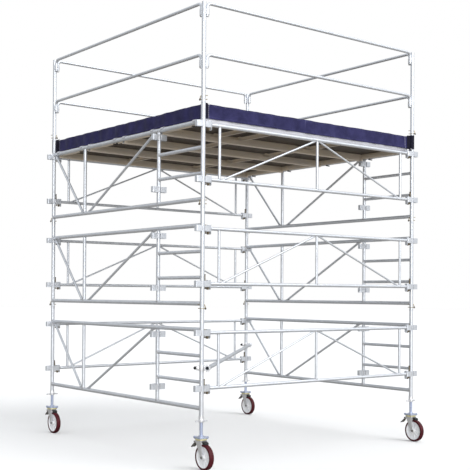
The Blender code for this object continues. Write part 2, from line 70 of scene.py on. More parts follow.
def join(shape, part, place=None, wearAndShade=0.0):
    bmesh.ops.recalc_face_normals(part, faces=part.faces)
    if place is not None:
        bmesh.ops.transform(part, matrix=place, verts=part.verts)
    if place is not None and place.determinant() < 0:
        bmesh.ops.reverse_faces(part, faces=part.faces)
    layer = part.verts.layers.float.new("wearAndShade")
    for vert in part.verts:
        vert[layer] = wearAndShade
    mesh = bpy.data.meshes.new("part")
    part.to_mesh(mesh)
    part.free()
    shape.from_mesh(mesh)
    bpy.data.meshes.remove(mesh)


def sharpEdges(part, degrees=30):
    limit = math.radians(degrees)
    return [edge for edge in part.edges if edge.is_manifold and edge.calc_face_angle(0) > limit]


def softened(part, width, segments=2):
    if width:
        bmesh.ops.bevel(part, geom=sharpEdges(part), offset=width, segments=segments, profile=0.5,
                        affect="EDGES", clamp_overlap=True, material=-1)


def rod(shape, start, end, radius, sides=24, rim=0.0, wearAndShade=0.0, tip=None):
    start = Vector(start)
    span = Vector(end) - start
    part = bmesh.new()
    bmesh.ops.create_cone(part, cap_ends=True, segments=sides, radius1=radius,
                          radius2=radius if tip is None else tip, depth=span.length)
    if sides > 12:
        softened(part, rim)
    join(shape, part, pointing(start + span / 2, span), wearAndShade)


def block(shape, low, high, rim=0.0, wearAndShade=0.0, place=None, segments=2):
    low = Vector(low)
    size = Vector(high) - low
    part = bmesh.new()
    bmesh.ops.create_cube(part, size=1)
    bmesh.ops.scale(part, vec=size, verts=part.verts)
    softened(part, rim, segments)
    spot = Matrix.Translation(low + size / 2)
    join(shape, part, spot if place is None else place @ spot, wearAndShade)


def turned(shape, profile, steps=32, place=None, ring=False, wearAndShade=0.0):
    part = bmesh.new()
    points = [part.verts.new((radius, 0, height)) for radius, height in profile]
    pairs = list(zip(points, points[1:]))
    if ring:
        pairs.append((points[-1], points[0]))
    edges = [part.edges.new(pair) for pair in pairs]
    bmesh.ops.spin(part, geom=points + edges, cent=(0, 0, 0), axis=(0, 0, 1), angle=2 * math.pi,
                   steps=steps, use_merge=True, use_duplicate=False)
    bmesh.ops.remove_doubles(part, verts=part.verts, dist=0.00002)
    join(shape, part, place, wearAndShade)


def pipe(shape, start, end, radius, bore, steps=28, wearAndShade=0.0):
    span = Vector(end) - Vector(start)
    lip = 0.0008
    profile = [(radius - lip, 0), (radius, lip), (radius, span.length - lip), (radius - lip, span.length),
               (bore, span.length), (bore, 0)]
    turned(shape, profile, steps, pointing(start, span), True, wearAndShade)


def prism(shape, outline, depth, place=None, rim=0.0, wearAndShade=0.0):
    part = bmesh.new()
    face = part.faces.new([part.verts.new((x, y, 0)) for x, y in outline])
    made = bmesh.ops.extrude_face_region(part, geom=[face])
    far = [item for item in made["geom"] if isinstance(item, bmesh.types.BMVert)]
    bmesh.ops.translate(part, vec=(0, 0, depth), verts=far)
    bmesh.ops.recalc_face_normals(part, faces=part.faces)
    softened(part, rim, 1)
    join(shape, part, place, wearAndShade)


def band(shape, path, width, thickness, place=None, wearAndShade=0.0, closed=False):
    part = bmesh.new()
    points = [part.verts.new((x, y, 0)) for x, y in path]
    pairs = list(zip(points, points[1:]))
    if closed:
        pairs.append((points[-1], points[0]))
    edges = [part.edges.new(pair) for pair in pairs]
    made = bmesh.ops.extrude_edge_only(part, edges=edges)
    far = [item for item in made["geom"] if isinstance(item, bmesh.types.BMVert)]
    bmesh.ops.translate(part, vec=(0, 0, width), verts=far)
    bmesh.ops.solidify(part, geom=part.faces[:], thickness=thickness)
    join(shape, part, place, wearAndShade)


def arc(x, y, radius, startDegrees, endDegrees, steps):
    swing = endDegrees - startDegrees
    turns = [math.radians(startDegrees + swing * step / steps) for step in range(steps + 1)]
    return [(x + radius * math.cos(turn), y + radius * math.sin(turn)) for turn in turns]


def sweep(shape, path, radius, sides=12, outline=None, wearAndShade=0.0, ring=False):
    path = [Vector(point) for point in path]
    last = len(path) - 1
    heading = []
    for index, point in enumerate(path):
        before = path[index - 1] if index or ring else point
        after = path[(index + 1) % len(path)] if index < last or ring else point
        heading.append((after - before).normalized())
    part = bmesh.new()
    if outline is None:
        bmesh.ops.create_circle(part, segments=sides, radius=radius)
    else:
        spots = [part.verts.new((x, y, 0)) for x, y in outline]
        for pair in zip(spots, spots[1:] + spots[:1]):
            part.edges.new(pair)
    bmesh.ops.transform(part, matrix=pointing(path[0], heading[0]), verts=part.verts)
    start = part.edges[:]
    loop = start
    for index in range(1, len(path)):
        made = bmesh.ops.extrude_edge_only(part, edges=loop)
        verts = {item for item in made["geom"] if isinstance(item, bmesh.types.BMVert)}
        loop = list({edge for vert in verts for edge in vert.link_edges if edge.other_vert(vert) in verts})
        turn = heading[index - 1].rotation_difference(heading[index]).to_matrix().to_4x4()
        step = Matrix.Translation(path[index]) @ turn @ Matrix.Translation(-path[index - 1])
        bmesh.ops.transform(part, matrix=step, verts=list(verts))
    if ring:
        bmesh.ops.bridge_loops(part, edges=start + loop)
    else:
        bmesh.ops.edgeloop_fill(part, edges=start)
        bmesh.ops.edgeloop_fill(part, edges=loop)
    join(shape, part, None, wearAndShade)


def wrapped(shape, points, thickness, place=None, rim=0.0, wearAndShade=0.0):
    # a plate whose outline is stretched round a few points in X, Y, drawn up by its thickness
    part = bmesh.new()
    for height in (0, thickness):
        for x, y in points:
            part.verts.new((x, y, height))
    made = bmesh.ops.convex_hull(part, input=part.verts)
    spare = [item for item in made["geom_interior"] if isinstance(item, bmesh.types.BMVert)]
    bmesh.ops.delete(part, geom=spare, context="VERTS")
    bmesh.ops.dissolve_limit(part, angle_limit=math.radians(2), verts=part.verts, edges=part.edges)
    softened(part, rim, 1)
    join(shape, part, place, wearAndShade)


bead = {"radius": 0.0042, "sides": 6, "steps": 30, "ripples": 15, "ripple": 0.16}


def weld(shape, crossing, direction, radius, mainAxis, mainRadius):
    # a bead on the line where a tube leaves a thicker one; crossing is where their axes meet
    part = bmesh.new()
    ring = bmesh.ops.create_circle(part, segments=bead["sides"], radius=bead["radius"],
                                   matrix=Matrix.Translation((radius, 0, 0)) @ turnedAbout("X", 90))
    bmesh.ops.spin(part, geom=ring["verts"] + part.edges[:], cent=(0, 0, 0), axis=(0, 0, 1),
                   steps=bead["steps"],
                   angle=2 * math.pi, use_merge=True, use_duplicate=False)
    bmesh.ops.remove_doubles(part, verts=part.verts, dist=0.00002)
    place = pointing(crossing, direction)
    main = place.to_3x3().inverted() @ Vector(mainAxis).normalized()
    flatUp = Vector((0, 0, 1)) - main * main.z
    for vert in part.verts:
        turn = math.atan2(vert.co.y, vert.co.x)
        centre = Vector((radius * math.cos(turn), radius * math.sin(turn), 0))
        flatCentre = centre - main * main.dot(centre)
        a = flatUp.length_squared
        b = 2 * flatCentre.dot(flatUp)
        c = flatCentre.length_squared - mainRadius ** 2
        rise = (-b + math.sqrt(max(b * b - 4 * a * c, 0))) / (2 * a)
        swell = 1 + bead["ripple"] * math.sin(bead["ripples"] * turn)
        vert.co = centre + (vert.co - centre) * swell + Vector((0, 0, rise))
    join(shape, part, place, 1.0)


def hexBolt(shape, foot, direction, size, head, washer=True, wearAndShade=0.3):
    place = pointing(foot, direction)
    base = 0.0
    if washer:
        turned(shape, [(0, 0), (size * 1.12, 0), (size * 1.12, 0.0016), (0, 0.0016)], 20, place, False, wearAndShade)
        base = 0.0016
    part = bmesh.new()
    bmesh.ops.create_cone(part, cap_ends=True, segments=6, radius1=size, radius2=size, depth=head)
    top = max(part.faces, key=lambda face: face.calc_center_median().z)
    bmesh.ops.bevel(part, geom=list(top.edges), offset=size * 0.12, segments=1, profile=0.5, affect="EDGES",
                    clamp_overlap=True, material=-1)
    join(shape, part, place @ movedTo(0, 0, base + head / 2), wearAndShade)


def dome(shape, spot, direction, radius, rise, wearAndShade=0.2):
    profile = [(radius * math.cos(turn), rise * math.sin(turn)) for turn in
               (math.pi / 2 * step / 4 for step in range(5))]
    turned(shape, [(0, -0.0005), (radius, -0.0005), *profile], 12, pointing(spot, direction), False, wearAndShade)


def finishPiece(name, shape, material, body, slot, nodes=(), place=None, smooth=34):
    # one object from a shape, at its place, riding its body; the shape itself stays for the next copy
    copy = shape.copy()
    if place is not None:
        bmesh.ops.transform(copy, matrix=place, verts=copy.verts)
    mesh = bpy.data.meshes.new(name)
    copy.to_mesh(mesh)
    copy.free()
    mesh.materials.append(material)
    mesh.shade_smooth()
    mesh.set_sharp_from_angle(angle=math.radians(smooth))
    piece = bpy.data.objects.new(name, mesh)
    bpy.context.scene.collection.objects.link(piece)
    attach(piece, body)
    if nodes:
        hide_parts(*nodes)
    return piece


def finishOnce(name, shape, *rest):
    finishPiece(name, shape, *rest)
    shape.free()


# Finishes: effects that several materials share are node groups, built once.

def addNode(tree, kind, feeds=None, **settings):
    made = tree.nodes.new(kind)
    for key, value in settings.items():
        setattr(made, key, value)
    for key, value in (feeds or {}).items():
        if isinstance(value, bpy.types.NodeSocket):
            tree.links.new(value, made.inputs[key])
        else:
            made.inputs[key].default_value = value
    return made


def calc(tree, operation, first, second=0.0, third=None):
    feeds = {0: first, 1: second}
    if third is not None:
        feeds[2] = third
    return addNode(tree, "ShaderNodeMath", feeds, operation=operation).outputs[0]


def times(tree, first, second):
    return calc(tree, "MULTIPLY", first, second)


def plus(tree, first, second):
    return calc(tree, "ADD", first, second)


def axesOf(tree, vector):
    return addNode(tree, "ShaderNodeSeparateXYZ", {0: vector}).outputs


def blendColour(tree, mask, first, second, way="MIX"):
    made = addNode(tree, "ShaderNodeMix", {0: mask}, data_type="RGBA", blend_type=way)
    for index, value in ((6, first), (7, second)):
        if isinstance(value, bpy.types.NodeSocket):
            tree.links.new(value, made.inputs[index])
        else:
            made.inputs[index].default_value = (*value, 1)
    return made.outputs[2]


def spread(tree, value, low, high, toLow=0.0, toHigh=1.0):
    feeds = {"Value": value, "From Min": low, "From Max": high, "To Min": toLow, "To Max": toHigh}
    return addNode(tree, "ShaderNodeMapRange", feeds).outputs[0]


def speckle(tree, vector, scale, detail=3.0, roughness=0.55, distortion=0.0):
    feeds = {"Vector": vector, "Scale": scale, "Detail": detail, "Roughness": roughness,
             "Distortion": distortion}
    return addNode(tree, "ShaderNodeTexNoise", feeds).outputs[0]


def stretched(tree, vector, scale):
    return addNode(tree, "ShaderNodeMapping", {"Vector": vector, "Scale": scale}).outputs[0]


def newGroup(name, inputs, outputs):
    group = bpy.data.node_groups.new(name, "ShaderNodeTree")
    for title, kind, value in inputs:
        socket = group.interface.new_socket(name=title, in_out="INPUT", socket_type="NodeSocket" + kind)
        if value is not None:
            socket.default_value = value
    for title, kind in outputs:
        group.interface.new_socket(name=title, in_out="OUTPUT", socket_type="NodeSocket" + kind)
    return group, group.nodes.new("NodeGroupInput").outputs, group.nodes.new("NodeGroupOutput").inputs


cloth = {"hem": 0.014, "rows": 10, "cell": 0.0146, "thickness": 0.0013, "hemSwell": 0.0007, "slack": 0.007,
 "frames": 26, "caps": (0.003, 0.0065, 0.003), "tieEvery": 14, "ends": 2,
         "length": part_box("toe_sheet_front")[1].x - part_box("toe_sheet_front")[0].x,
         "weave": 0.0016, "stitch": 0.0045, "middle": 0.07, "hemLine": 0.053, "barTack": 0.052,
         "zigzag": 0.018, "unevenness": 0.0012, "creaseSpan": 12,
         "quality": 8, "mass": 0.35, "stretch": 30, "shear": 12,
         "bending": 2.5, "damping": 4}
deckFilm = {"meshPitch": 0.009, "layer": 0.0028}
webbingRib = 0.0022


def spangleGroup():
    # the crystal flowers of a zinc bath, with slow cloudy patches over them
    group, given, result = newGroup("spangle", [("Vector", "Vector", None), ("Scale", "Float", 90.0)],
                                    [("Tone", "Float"), ("Cloud", "Float")])
    warp = addNode(group, "ShaderNodeTexVoronoi", {"Vector": given["Vector"], "Scale": given["Scale"]})
    parts = addNode(group, "ShaderNodeSeparateColor", {0: warp.outputs["Color"]})
    fine = speckle(group, given["Vector"], 420.0, 2.0)
    tone = plus(group, times(group, parts.outputs[0], 0.7), times(group, fine, 0.3))
    group.links.new(tone, result["Tone"])
    group.links.new(spread(group, speckle(group, given["Vector"], 5.0, 4.0), 0.35, 0.7), result["Cloud"])
    return group


def scuffGroup():
    # short rubbed marks, thicker where the piece's own wear value is high
    group, given, result = newGroup("scuffs", [("Vector", "Vector", None), ("Amount", "Float", 0.3),
                                               ("Wear", "Float", 0.0)], [("Mask", "Float")])
    long = speckle(group, stretched(group, given["Vector"], (26.0, 26.0, 150.0)), 1.0, 5.0, 0.7)
    wide = speckle(group, stretched(group, given["Vector"], (150.0, 26.0, 26.0)), 1.0, 5.0, 0.7)
    patch = spread(group, speckle(group, given["Vector"], 3.0, 3.0), 0.4, 0.65)
    marks = spread(group, calc(group, "MAXIMUM", long, wide), 0.63, 0.72)
    amount = plus(group, given["Amount"], times(group, given["Wear"], 0.6))
    group.links.new(times(group, times(group, marks, patch), amount), result["Mask"])
    return group


def grimeGroup():
    # dust that lies on upper faces, and splash that fades with height above the floor
    group, given, result = newGroup("grime", [("Vector", "Vector", None), ("Settled", "Float", 0.3),
                                              ("Splash", "Float", 0.6), ("Reach", "Float", 0.5)],
                                    [("Mask", "Float")])
    up = axesOf(group, addNode(group, "ShaderNodeNewGeometry").outputs["Normal"])[2]
    height = axesOf(group, given["Vector"])[2]
    lying = times(group, spread(group, up, 0.55, 1.0), given["Settled"])
    low = spread(group, calc(group, "DIVIDE", height, given["Reach"]), 1.0, 0.0)
    thrown = times(group, low, given["Splash"])
    cloud = spread(group, speckle(group, given["Vector"], 14.0, 5.0, 0.65), 0.38, 0.68)
    both = plus(group, lying, thrown)
    mask = times(group, both, calc(group, "MULTIPLY_ADD", cloud, 0.75, 0.25))
    group.links.new(calc(group, "MINIMUM", mask, 1.0), result["Mask"])
    return group


def weaveGroup():
    # plain weave on a flat map in metres
    group, given, result = newGroup("weave", [("Vector", "Vector", None), ("Pitch", "Float", 0.0012)],
                                    [("Height", "Float"), ("Tone", "Float")])
    axes = axesOf(group, given["Vector"])
    rate = calc(group, "DIVIDE", 2 * math.pi, given["Pitch"])
    across = calc(group, "SINE", times(group, axes[0], rate))
    upward = calc(group, "SINE", times(group, axes[1], rate))
    crossed = times(group, across, upward)
    slub = speckle(group, stretched(group, given["Vector"], (60.0, 700.0, 60.0)), 1.0, 3.0)
    height = calc(group, "MULTIPLY_ADD", crossed, 0.5, calc(group, "MULTIPLY_ADD", slub, 0.5, 0.25))
    group.links.new(height, result["Height"])
    group.links.new(spread(group, slub, 0.3, 0.7), result["Tone"])
    return group


def drawnGroup():
    # fine straight lines left along X by an extrusion die
    group, given, result = newGroup("drawn", [("Vector", "Vector", None)], [("Tone", "Float")])
    fine = speckle(group, stretched(group, given["Vector"], (0.8, 900.0, 900.0)), 1.0, 2.0)
    wide = speckle(group, stretched(group, given["Vector"], (0.5, 130.0, 130.0)), 1.0, 2.0)
    group.links.new(calc(group, "MULTIPLY_ADD", fine, 0.55, times(group, wide, 0.45)), result["Tone"])
    return group


def grainGroup():
    # veneer grain along X with darker pores
    group, given, result = newGroup("grain", [("Vector", "Vector", None)],
                                    [("Tone", "Float"), ("Pores", "Float")])
    figure = speckle(group, stretched(group, given["Vector"], (1.6, 22.0, 22.0)), 1.0, 6.0, 0.6, 0.6)
    pores = speckle(group, stretched(group, given["Vector"], (9.0, 420.0, 420.0)), 1.0, 2.0)
    group.links.new(spread(group, figure, 0.32, 0.68), result["Tone"])
    group.links.new(spread(group, pores, 0.55, 0.72), result["Pores"])
    return group


spangle = spangleGroup()
scuffs = scuffGroup()
grime = grimeGroup()
weave = weaveGroup()
drawn = drawnGroup()
grain = grainGroup()


def placeGroup(tree, group, feeds):
    return addNode(tree, "ShaderNodeGroup", feeds, node_tree=group).outputs


def newMaterial(name, roughness, metallic=0.0, specular=0.5):
    made = bpy.data.materials.new(name)
    made.use_nodes = True
    tree = made.node_tree
    shader = tree.nodes["Principled BSDF"]
    shader.inputs["Roughness"].default_value = roughness
    shader.inputs["Metallic"].default_value = metallic
    shader.inputs["Specular IOR Level"].default_value = specular
    spot = addNode(tree, "ShaderNodeTexCoord").outputs["Object"]
    # the wear attribute: real wear on most pieces, and on the deck's aluminium a painted-shade mask for the
    # faces under the deck
    wornAndShaded = addNode(tree, "ShaderNodeAttribute", attribute_name="wearAndShade").outputs["Fac"]
    return made, tree, shader.inputs, spot, wornAndShaded


def bumped(tree, height, strength, distance):
    feeds = {"Height": height, "Strength": strength, "Distance": distance}
    return addNode(tree, "ShaderNodeBump", feeds).outputs[0]


def zincMaterial(name, bright, dull, roughness=(0.36, 0.54), metallic=0.62, splash=0.35,
                 wornTint=(0.30, 0.28, 0.27), wornShare=0.6):
    made, tree, inputs, spot, wornAndShaded = newMaterial(name, 0.4, metallic)
    bath = placeGroup(tree, spangle, {"Vector": spot, "Scale": 95.0})
    marks = placeGroup(tree, scuffs, {"Vector": spot, "Amount": 0.5, "Wear": wornAndShaded})["Mask"]
    dirt = placeGroup(tree, grime, {"Vector": spot, "Settled": 0.12, "Splash": splash, "Reach": 0.9})["Mask"]
    streak = speckle(tree, stretched(tree, spot, (70.0, 70.0, 5.0)), 1.0, 4.0, 0.6)
    base = blendColour(tree, times(tree, bath["Tone"], 0.55), bright, dull)
    base = blendColour(tree, times(tree, bath["Cloud"], 0.28), base, dull)
    base = blendColour(tree, spread(tree, streak, 0.58, 0.75, 0.0, 0.30), base, dull)
    base = blendColour(tree, marks, base, (0.36, 0.37, 0.40))
    base = blendColour(tree, spread(tree, wornAndShaded, 0.2, 1.0, 0.0, wornShare), base, wornTint)
    base = blendColour(tree, dirt, base, (0.42, 0.39, 0.34))
    tree.links.new(base, inputs["Base Color"])
    rough = spread(tree, plus(tree, bath["Tone"], times(tree, marks, 0.4)), 0.1, 1.1, *roughness)
    tree.links.new(plus(tree, rough, times(tree, dirt, 0.3)), inputs["Roughness"])
    skin = plus(tree, bath["Tone"], speckle(tree, spot, 210.0, 3.0))
    tree.links.new(bumped(tree, skin, 0.22, 0.0006), inputs["Normal"])
    return made


def aluminiumMaterial():
    made, tree, inputs, spot, wornAndShaded = newMaterial("mill aluminium", 0.4, 0.7)
    lines = placeGroup(tree, drawn, {"Vector": spot})["Tone"]
    marks = placeGroup(tree, scuffs, {"Vector": spot, "Amount": 0.6, "Wear": 0.1})["Mask"]
    dirt = placeGroup(tree, grime, {"Vector": spot, "Settled": 0.35, "Splash": 0.0, "Reach": 1.0})["Mask"]
    base = blendColour(tree, spread(tree, lines, 0.35, 0.65), (0.70, 0.70, 0.74), (0.56, 0.56, 0.60))
    # painted shade: where the attribute is 1, on the inside and under faces beneath the deck, the colour
    # blends towards beige (0.90, 0.77, 0.60) as a painted reflection tint for the shade there, and the metal
    # look is taken away
    shadeTint = spread(tree, speckle(tree, stretched(tree, spot, (2.0, 9.0, 9.0)), 1.0, 5.0, 0.6), 0.3, 0.7, 0.55,
                   0.95)
    base = blendColour(tree, times(tree, wornAndShaded, shadeTint), base, (0.90, 0.77, 0.60))
    tree.links.new(spread(tree, wornAndShaded, 0.0, 1.0, 0.7, 0.1), inputs["Metallic"])
    base = blendColour(tree, marks, base, (0.40, 0.39, 0.38))
    base = blendColour(tree, times(tree, dirt, 0.7), base, (0.44, 0.39, 0.32))
    tree.links.new(base, inputs["Base Color"])
    tree.links.new(spread(tree, plus(tree, lines, marks), 0.3, 1.1, 0.32, 0.55), inputs["Roughness"])
    tree.links.new(bumped(tree, lines, 0.25, 0.0004), inputs["Normal"])
    return made


def plyMaterial():
    # dark phenolic film with a wire mesh print on the walking face
    made, tree, inputs, spot, wornAndShaded = newMaterial("film-faced ply", 0.6, 0.0, 0.3)
    wood = placeGroup(tree, grain, {"Vector": spot})
    marks = placeGroup(tree, scuffs, {"Vector": spot, "Amount": 0.9, "Wear": wornAndShaded})["Mask"]
    dirt = placeGroup(tree, grime, {"Vector": spot, "Settled": 0.55, "Splash": 0.0, "Reach": 1.0})["Mask"]
    turned45 = addNode(tree, "ShaderNodeMapping",
                       {"Vector": spot, "Rotation": (0, 0, math.radians(45))}).outputs[0]
    axes = axesOf(tree, turned45)
    rate = 2 * math.pi / deckFilm["meshPitch"]
    waves = [calc(tree, "SINE", times(tree, axes[index], rate)) for index in (0, 1)]
    mesh = spread(tree, calc(tree, "MAXIMUM", *waves), 0.55, 0.95)
    base = blendColour(tree, wood["Tone"], (0.020, 0.012, 0.007), (0.044, 0.027, 0.016))
    base = blendColour(tree, times(tree, wood["Pores"], 0.5), base, (0.03, 0.02, 0.014))
    base = blendColour(tree, marks, base, (0.30, 0.22, 0.15))
    base = blendColour(tree, times(tree, dirt, 0.6), base, (0.30, 0.26, 0.21))
    plies = calc(tree, "SINE", times(tree, axesOf(tree, spot)[2],
                                    2 * math.pi / deckFilm["layer"]))
    edge = blendColour(tree, spread(tree, plies, -0.3, 0.3), (0.30, 0.19, 0.10), (0.13, 0.075, 0.04))
    base = blendColour(tree, wornAndShaded, base, edge)
    tree.links.new(base, inputs["Base Color"])
    tree.links.new(spread(tree, plus(tree, marks, dirt), 0.0, 1.0, 0.45, 0.85), inputs["Roughness"])
    tree.links.new(bumped(tree, calc(tree, "SUBTRACT", mesh, wood["Pores"]), 0.4, 0.0006), inputs["Normal"])
    return made


def clothMaterial():
    made, tree, inputs, spot, wornAndShaded = newMaterial("navy coated canvas", 0.8, 0.0, 0.12)
    flat = addNode(tree, "ShaderNodeUVMap", uv_map="cut").outputs[0]
    threads = placeGroup(tree, weave, {"Vector": flat, "Pitch": cloth["weave"]})
    dirt = placeGroup(tree, grime, {"Vector": spot, "Settled": 0.5, "Splash": 0.0, "Reach": 1.0})["Mask"]
    blotch = speckle(tree, spot, 9.0, 5.0, 0.65)
    rub = spread(tree, speckle(tree, stretched(tree, flat, (18.0, 120.0, 1.0)), 1.0, 5.0, 0.7), 0.56, 0.70)
    axes = axesOf(tree, flat)
    folds = speckle(tree, stretched(tree, flat, (14.0, 0.7, 1.0)), 1.0, 2.0, 0.5)
    crease = spread(tree, folds, 0.66, 0.72)
    stitch = calc(tree, "SINE", times(tree, axes[0], 2 * math.pi / cloth["stitch"]))
    hemLine = calc(tree, "SUBTRACT", calc(tree, "ABSOLUTE", calc(tree, "SUBTRACT", axes[1], cloth["middle"])),
                   cloth["hemLine"])
    hemLine = spread(tree, calc(tree, "ABSOLUTE", hemLine), 0.0009, 0.0005)
    sewn = times(tree, hemLine, spread(tree, stitch, -0.2, 0.1))
    fromEnd = calc(tree, "SUBTRACT", cloth["length"] / 2,
                   calc(tree, "ABSOLUTE", calc(tree, "SUBTRACT", axes[0],
                                                                                     cloth["length"] / 2)))
    seam = spread(tree, calc(tree, "ABSOLUTE", calc(tree, "SUBTRACT", fromEnd, cloth["barTack"])), 0.0042,
                  0.0030)
    zigzag = calc(tree, "SINE", times(tree, axes[1], 2 * math.pi / cloth["zigzag"]))
    barTack = times(tree, seam, spread(tree, zigzag, -0.6, 0.2))
    base = blendColour(tree, spread(tree, blotch, 0.35, 0.68), (0.016, 0.015, 0.058), (0.038, 0.036, 0.116))
    base = blendColour(tree, times(tree, threads["Tone"], 0.35), base, (0.018, 0.018, 0.07))
    base = blendColour(tree, times(tree, rub, 0.10), base, (0.20, 0.20, 0.36))
    base = blendColour(tree, times(tree, crease, 0.22), base, (0.22, 0.22, 0.38))
    base = blendColour(tree, times(tree, dirt, 0.12), base, (0.30, 0.28, 0.27))
    base = blendColour(tree, times(tree, sewn, 0.6), base, (0.14, 0.14, 0.28))
    base = blendColour(tree, times(tree, barTack, 0.8), base, (0.42, 0.42, 0.50))
    tree.links.new(base, inputs["Base Color"])
    tree.links.new(spread(tree, plus(tree, rub, blotch), 0.2, 1.3, 0.62, 0.85), inputs["Roughness"])
    inputs["Sheen Weight"].default_value = 0.03
    inputs["Sheen Roughness"].default_value = 0.5
    relief = calc(tree, "MULTIPLY_ADD", threads["Height"], 0.5, times(tree, sewn, 0.8))
    tree.links.new(bumped(tree, relief, 0.5, 0.0005), inputs["Normal"])
    return made


def webbingMaterial():
    made, tree, inputs, spot, wornAndShaded = newMaterial("black webbing", 0.85, 0.0, 0.12)
    ribs = calc(tree, "SINE", times(tree, axesOf(tree, spot)[2],
                                   2 * math.pi / webbingRib))
    fuzz = speckle(tree, spot, 380.0, 3.0)
    dust = spread(tree, speckle(tree, spot, 22.0, 4.0), 0.45, 0.7, 0.0, 0.25)
    base = blendColour(tree, spread(tree, ribs, -1.0, 1.0), (0.006, 0.006, 0.012), (0.018, 0.017, 0.034))
    tree.links.new(blendColour(tree, times(tree, dust, 0.4), base, (0.09, 0.08, 0.12)), inputs["Base Color"])
    tree.links.new(bumped(tree, plus(tree, ribs, fuzz), 0.5, 0.0005), inputs["Normal"])
    return made


def mouldedMaterial(name, dark, light, roughness, dustTint, dustAmount, splash=0.6, reach=0.3, specular=0.5):
    # moulded plastic, rubber and polyurethane
    made, tree, inputs, spot, wornAndShaded = newMaterial(name, roughness, 0.0, specular)
    cloud = spread(tree, speckle(tree, spot, 26.0, 4.0), 0.35, 0.68)
    marks = placeGroup(tree, scuffs, {"Vector": spot, "Amount": 0.8, "Wear": wornAndShaded})["Mask"]
    dirt = placeGroup(tree, grime, {"Vector": spot, "Settled": 0.2, "Splash": splash, "Reach": reach})["Mask"]
    base = blendColour(tree, cloud, dark, light)
    base = blendColour(tree, times(tree, marks, 0.6), base, dustTint)
    dirt = calc(tree, "MINIMUM", plus(tree, dirt, times(tree, wornAndShaded, 0.35)), 1.0)
    base = blendColour(tree, times(tree, dirt, dustAmount), base, dustTint)
    tree.links.new(base, inputs["Base Color"])
    rough = spread(tree, plus(tree, marks, dirt), 0.0, 1.2, roughness, min(roughness + 0.35, 0.95))
    tree.links.new(rough, inputs["Roughness"])
    skin = plus(tree, speckle(tree, spot, 620.0, 2.0), times(tree, marks, 0.8))
    tree.links.new(bumped(tree, skin, 0.25, 0.0004), inputs["Normal"])
    return made


tubeZinc = zincMaterial("galvanised tube", (0.76, 0.79, 0.84), (0.50, 0.53, 0.58))
plateZinc = zincMaterial("zinc-plated pressing", (0.82, 0.83, 0.86), (0.58, 0.59, 0.62), (0.30, 0.46), 0.7,
                         0.12)
screwZinc = zincMaterial("blue zinc-plated screw", (0.56, 0.63, 0.82), (0.34, 0.39, 0.52), (0.30, 0.46), 0.6,
                         0.15)
brownZinc = zincMaterial("brown passivated zinc", (0.48, 0.40, 0.24), (0.24, 0.18, 0.11), (0.35, 0.55), 0.5,
                         0.35,
                         (0.040, 0.026, 0.018), 0.95)
yellowZinc = zincMaterial("yellow passivated zinc", (0.88, 0.84, 0.50), (0.70, 0.64, 0.36), (0.30, 0.46), 0.5,
                          0.1)
aluminium = aluminiumMaterial()
deckPly = plyMaterial()
navyCanvas = clothMaterial()
blackWebbing = webbingMaterial()
blackMoulding = mouldedMaterial("black moulding", (0.004, 0.004, 0.005), (0.010, 0.010, 0.011), 0.5,
                                (0.08, 0.075, 0.07), 0.10)
whiteMoulding = mouldedMaterial("white wheel centre", (0.86, 0.88, 0.92), (0.93, 0.94, 0.96), 0.42,
                                (0.52, 0.50, 0.48), 0.24, 0.5)
redTread = mouldedMaterial("dark red tread", (0.042, 0.0020, 0.005), (0.085, 0.005, 0.013), 0.42,
                           (0.09, 0.038, 0.038), 0.10, 0.4, 0.3, 0.25)
darkPlate = mouldedMaterial("dark plated steel", (0.10, 0.098, 0.094), (0.19, 0.185, 0.175), 0.4,
                            (0.30, 0.28, 0.25), 0.3)
print("finishes ready")


# Where things are, read from the frame.

def centreOf(node):
    low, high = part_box(node)
    return (low + high) / 2


postSpots = {corner: centreOf(f"jack_screw_{corner}") for corner in corners}
halfBay = postSpots["front_right"].x
jointGap = 0.0003

ladder = {
    "post": 0.02135, "bore": 0.0184, "chord": 0.0205, "stile": 0.019, "rung": 0.017, "diagonal": 0.0135,
    "drop": 0.07, "rise": 0.75, "lift": 1.0, "rungPitch": 0.25, "stileOffset": halfBay / 2,
    "cope": 0.005, "spigot": 0.0166, "spigotReach": 0.095, "collar": 0.0234,
    "longDiagonal": ((0.665, 0.005), (-0.695, 0.745)), "shortDiagonal": ((0.785, 0.005), (1.455, 0.745)),
}
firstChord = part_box("ladder_frame_left_1")[0].z + ladder["drop"]
deckChord = firstChord + 2 * ladder["lift"] + ladder["rise"]

pocket = {"levels": (0.19, 0.72), "stileDrop": 0.04, "root": 0.012, "reach": 0.085, "width": 0.044,
          "half": 0.029, "wall": 0.004, "corner": 0.009, "divider": 0.048}


def pressedPocket(shape, y, level, side):
    # a strap folded round a slot, welded to the tube at both ends
    half = pocket["width"] / 2
    far = pocket["reach"]
    bend = pocket["corner"]
    path = [(pocket["root"], -half)]
    path += arc(far - bend, -half + bend, bend, -90, 0, 4)
    path += arc(far - bend, half - bend, bend, 0, 90, 4)
    path += [(pocket["root"], half)]
    place = movedTo(0, y, level - pocket["half"]) @ Matrix.Diagonal((side, 1, 1, 1))
    band(shape, path, 2 * pocket["half"], -pocket["wall"], place, 0.15)
    inner = half - pocket["wall"] - 0.0002
    block(shape, (pocket["divider"], -inner, 0.004),
          (pocket["divider"] + 0.004, inner, 2 * pocket["half"] - 0.004),
          0.0008, 0.2, place)
    for edge in (-half, half):
        seam = [(side * 0.0165, y + edge, level - pocket["half"] + 0.003),
                (side * 0.0165, y + edge, level + pocket["half"] - 0.003)]
        sweep(shape, seam, 0.0032, 6, None, 1.0)


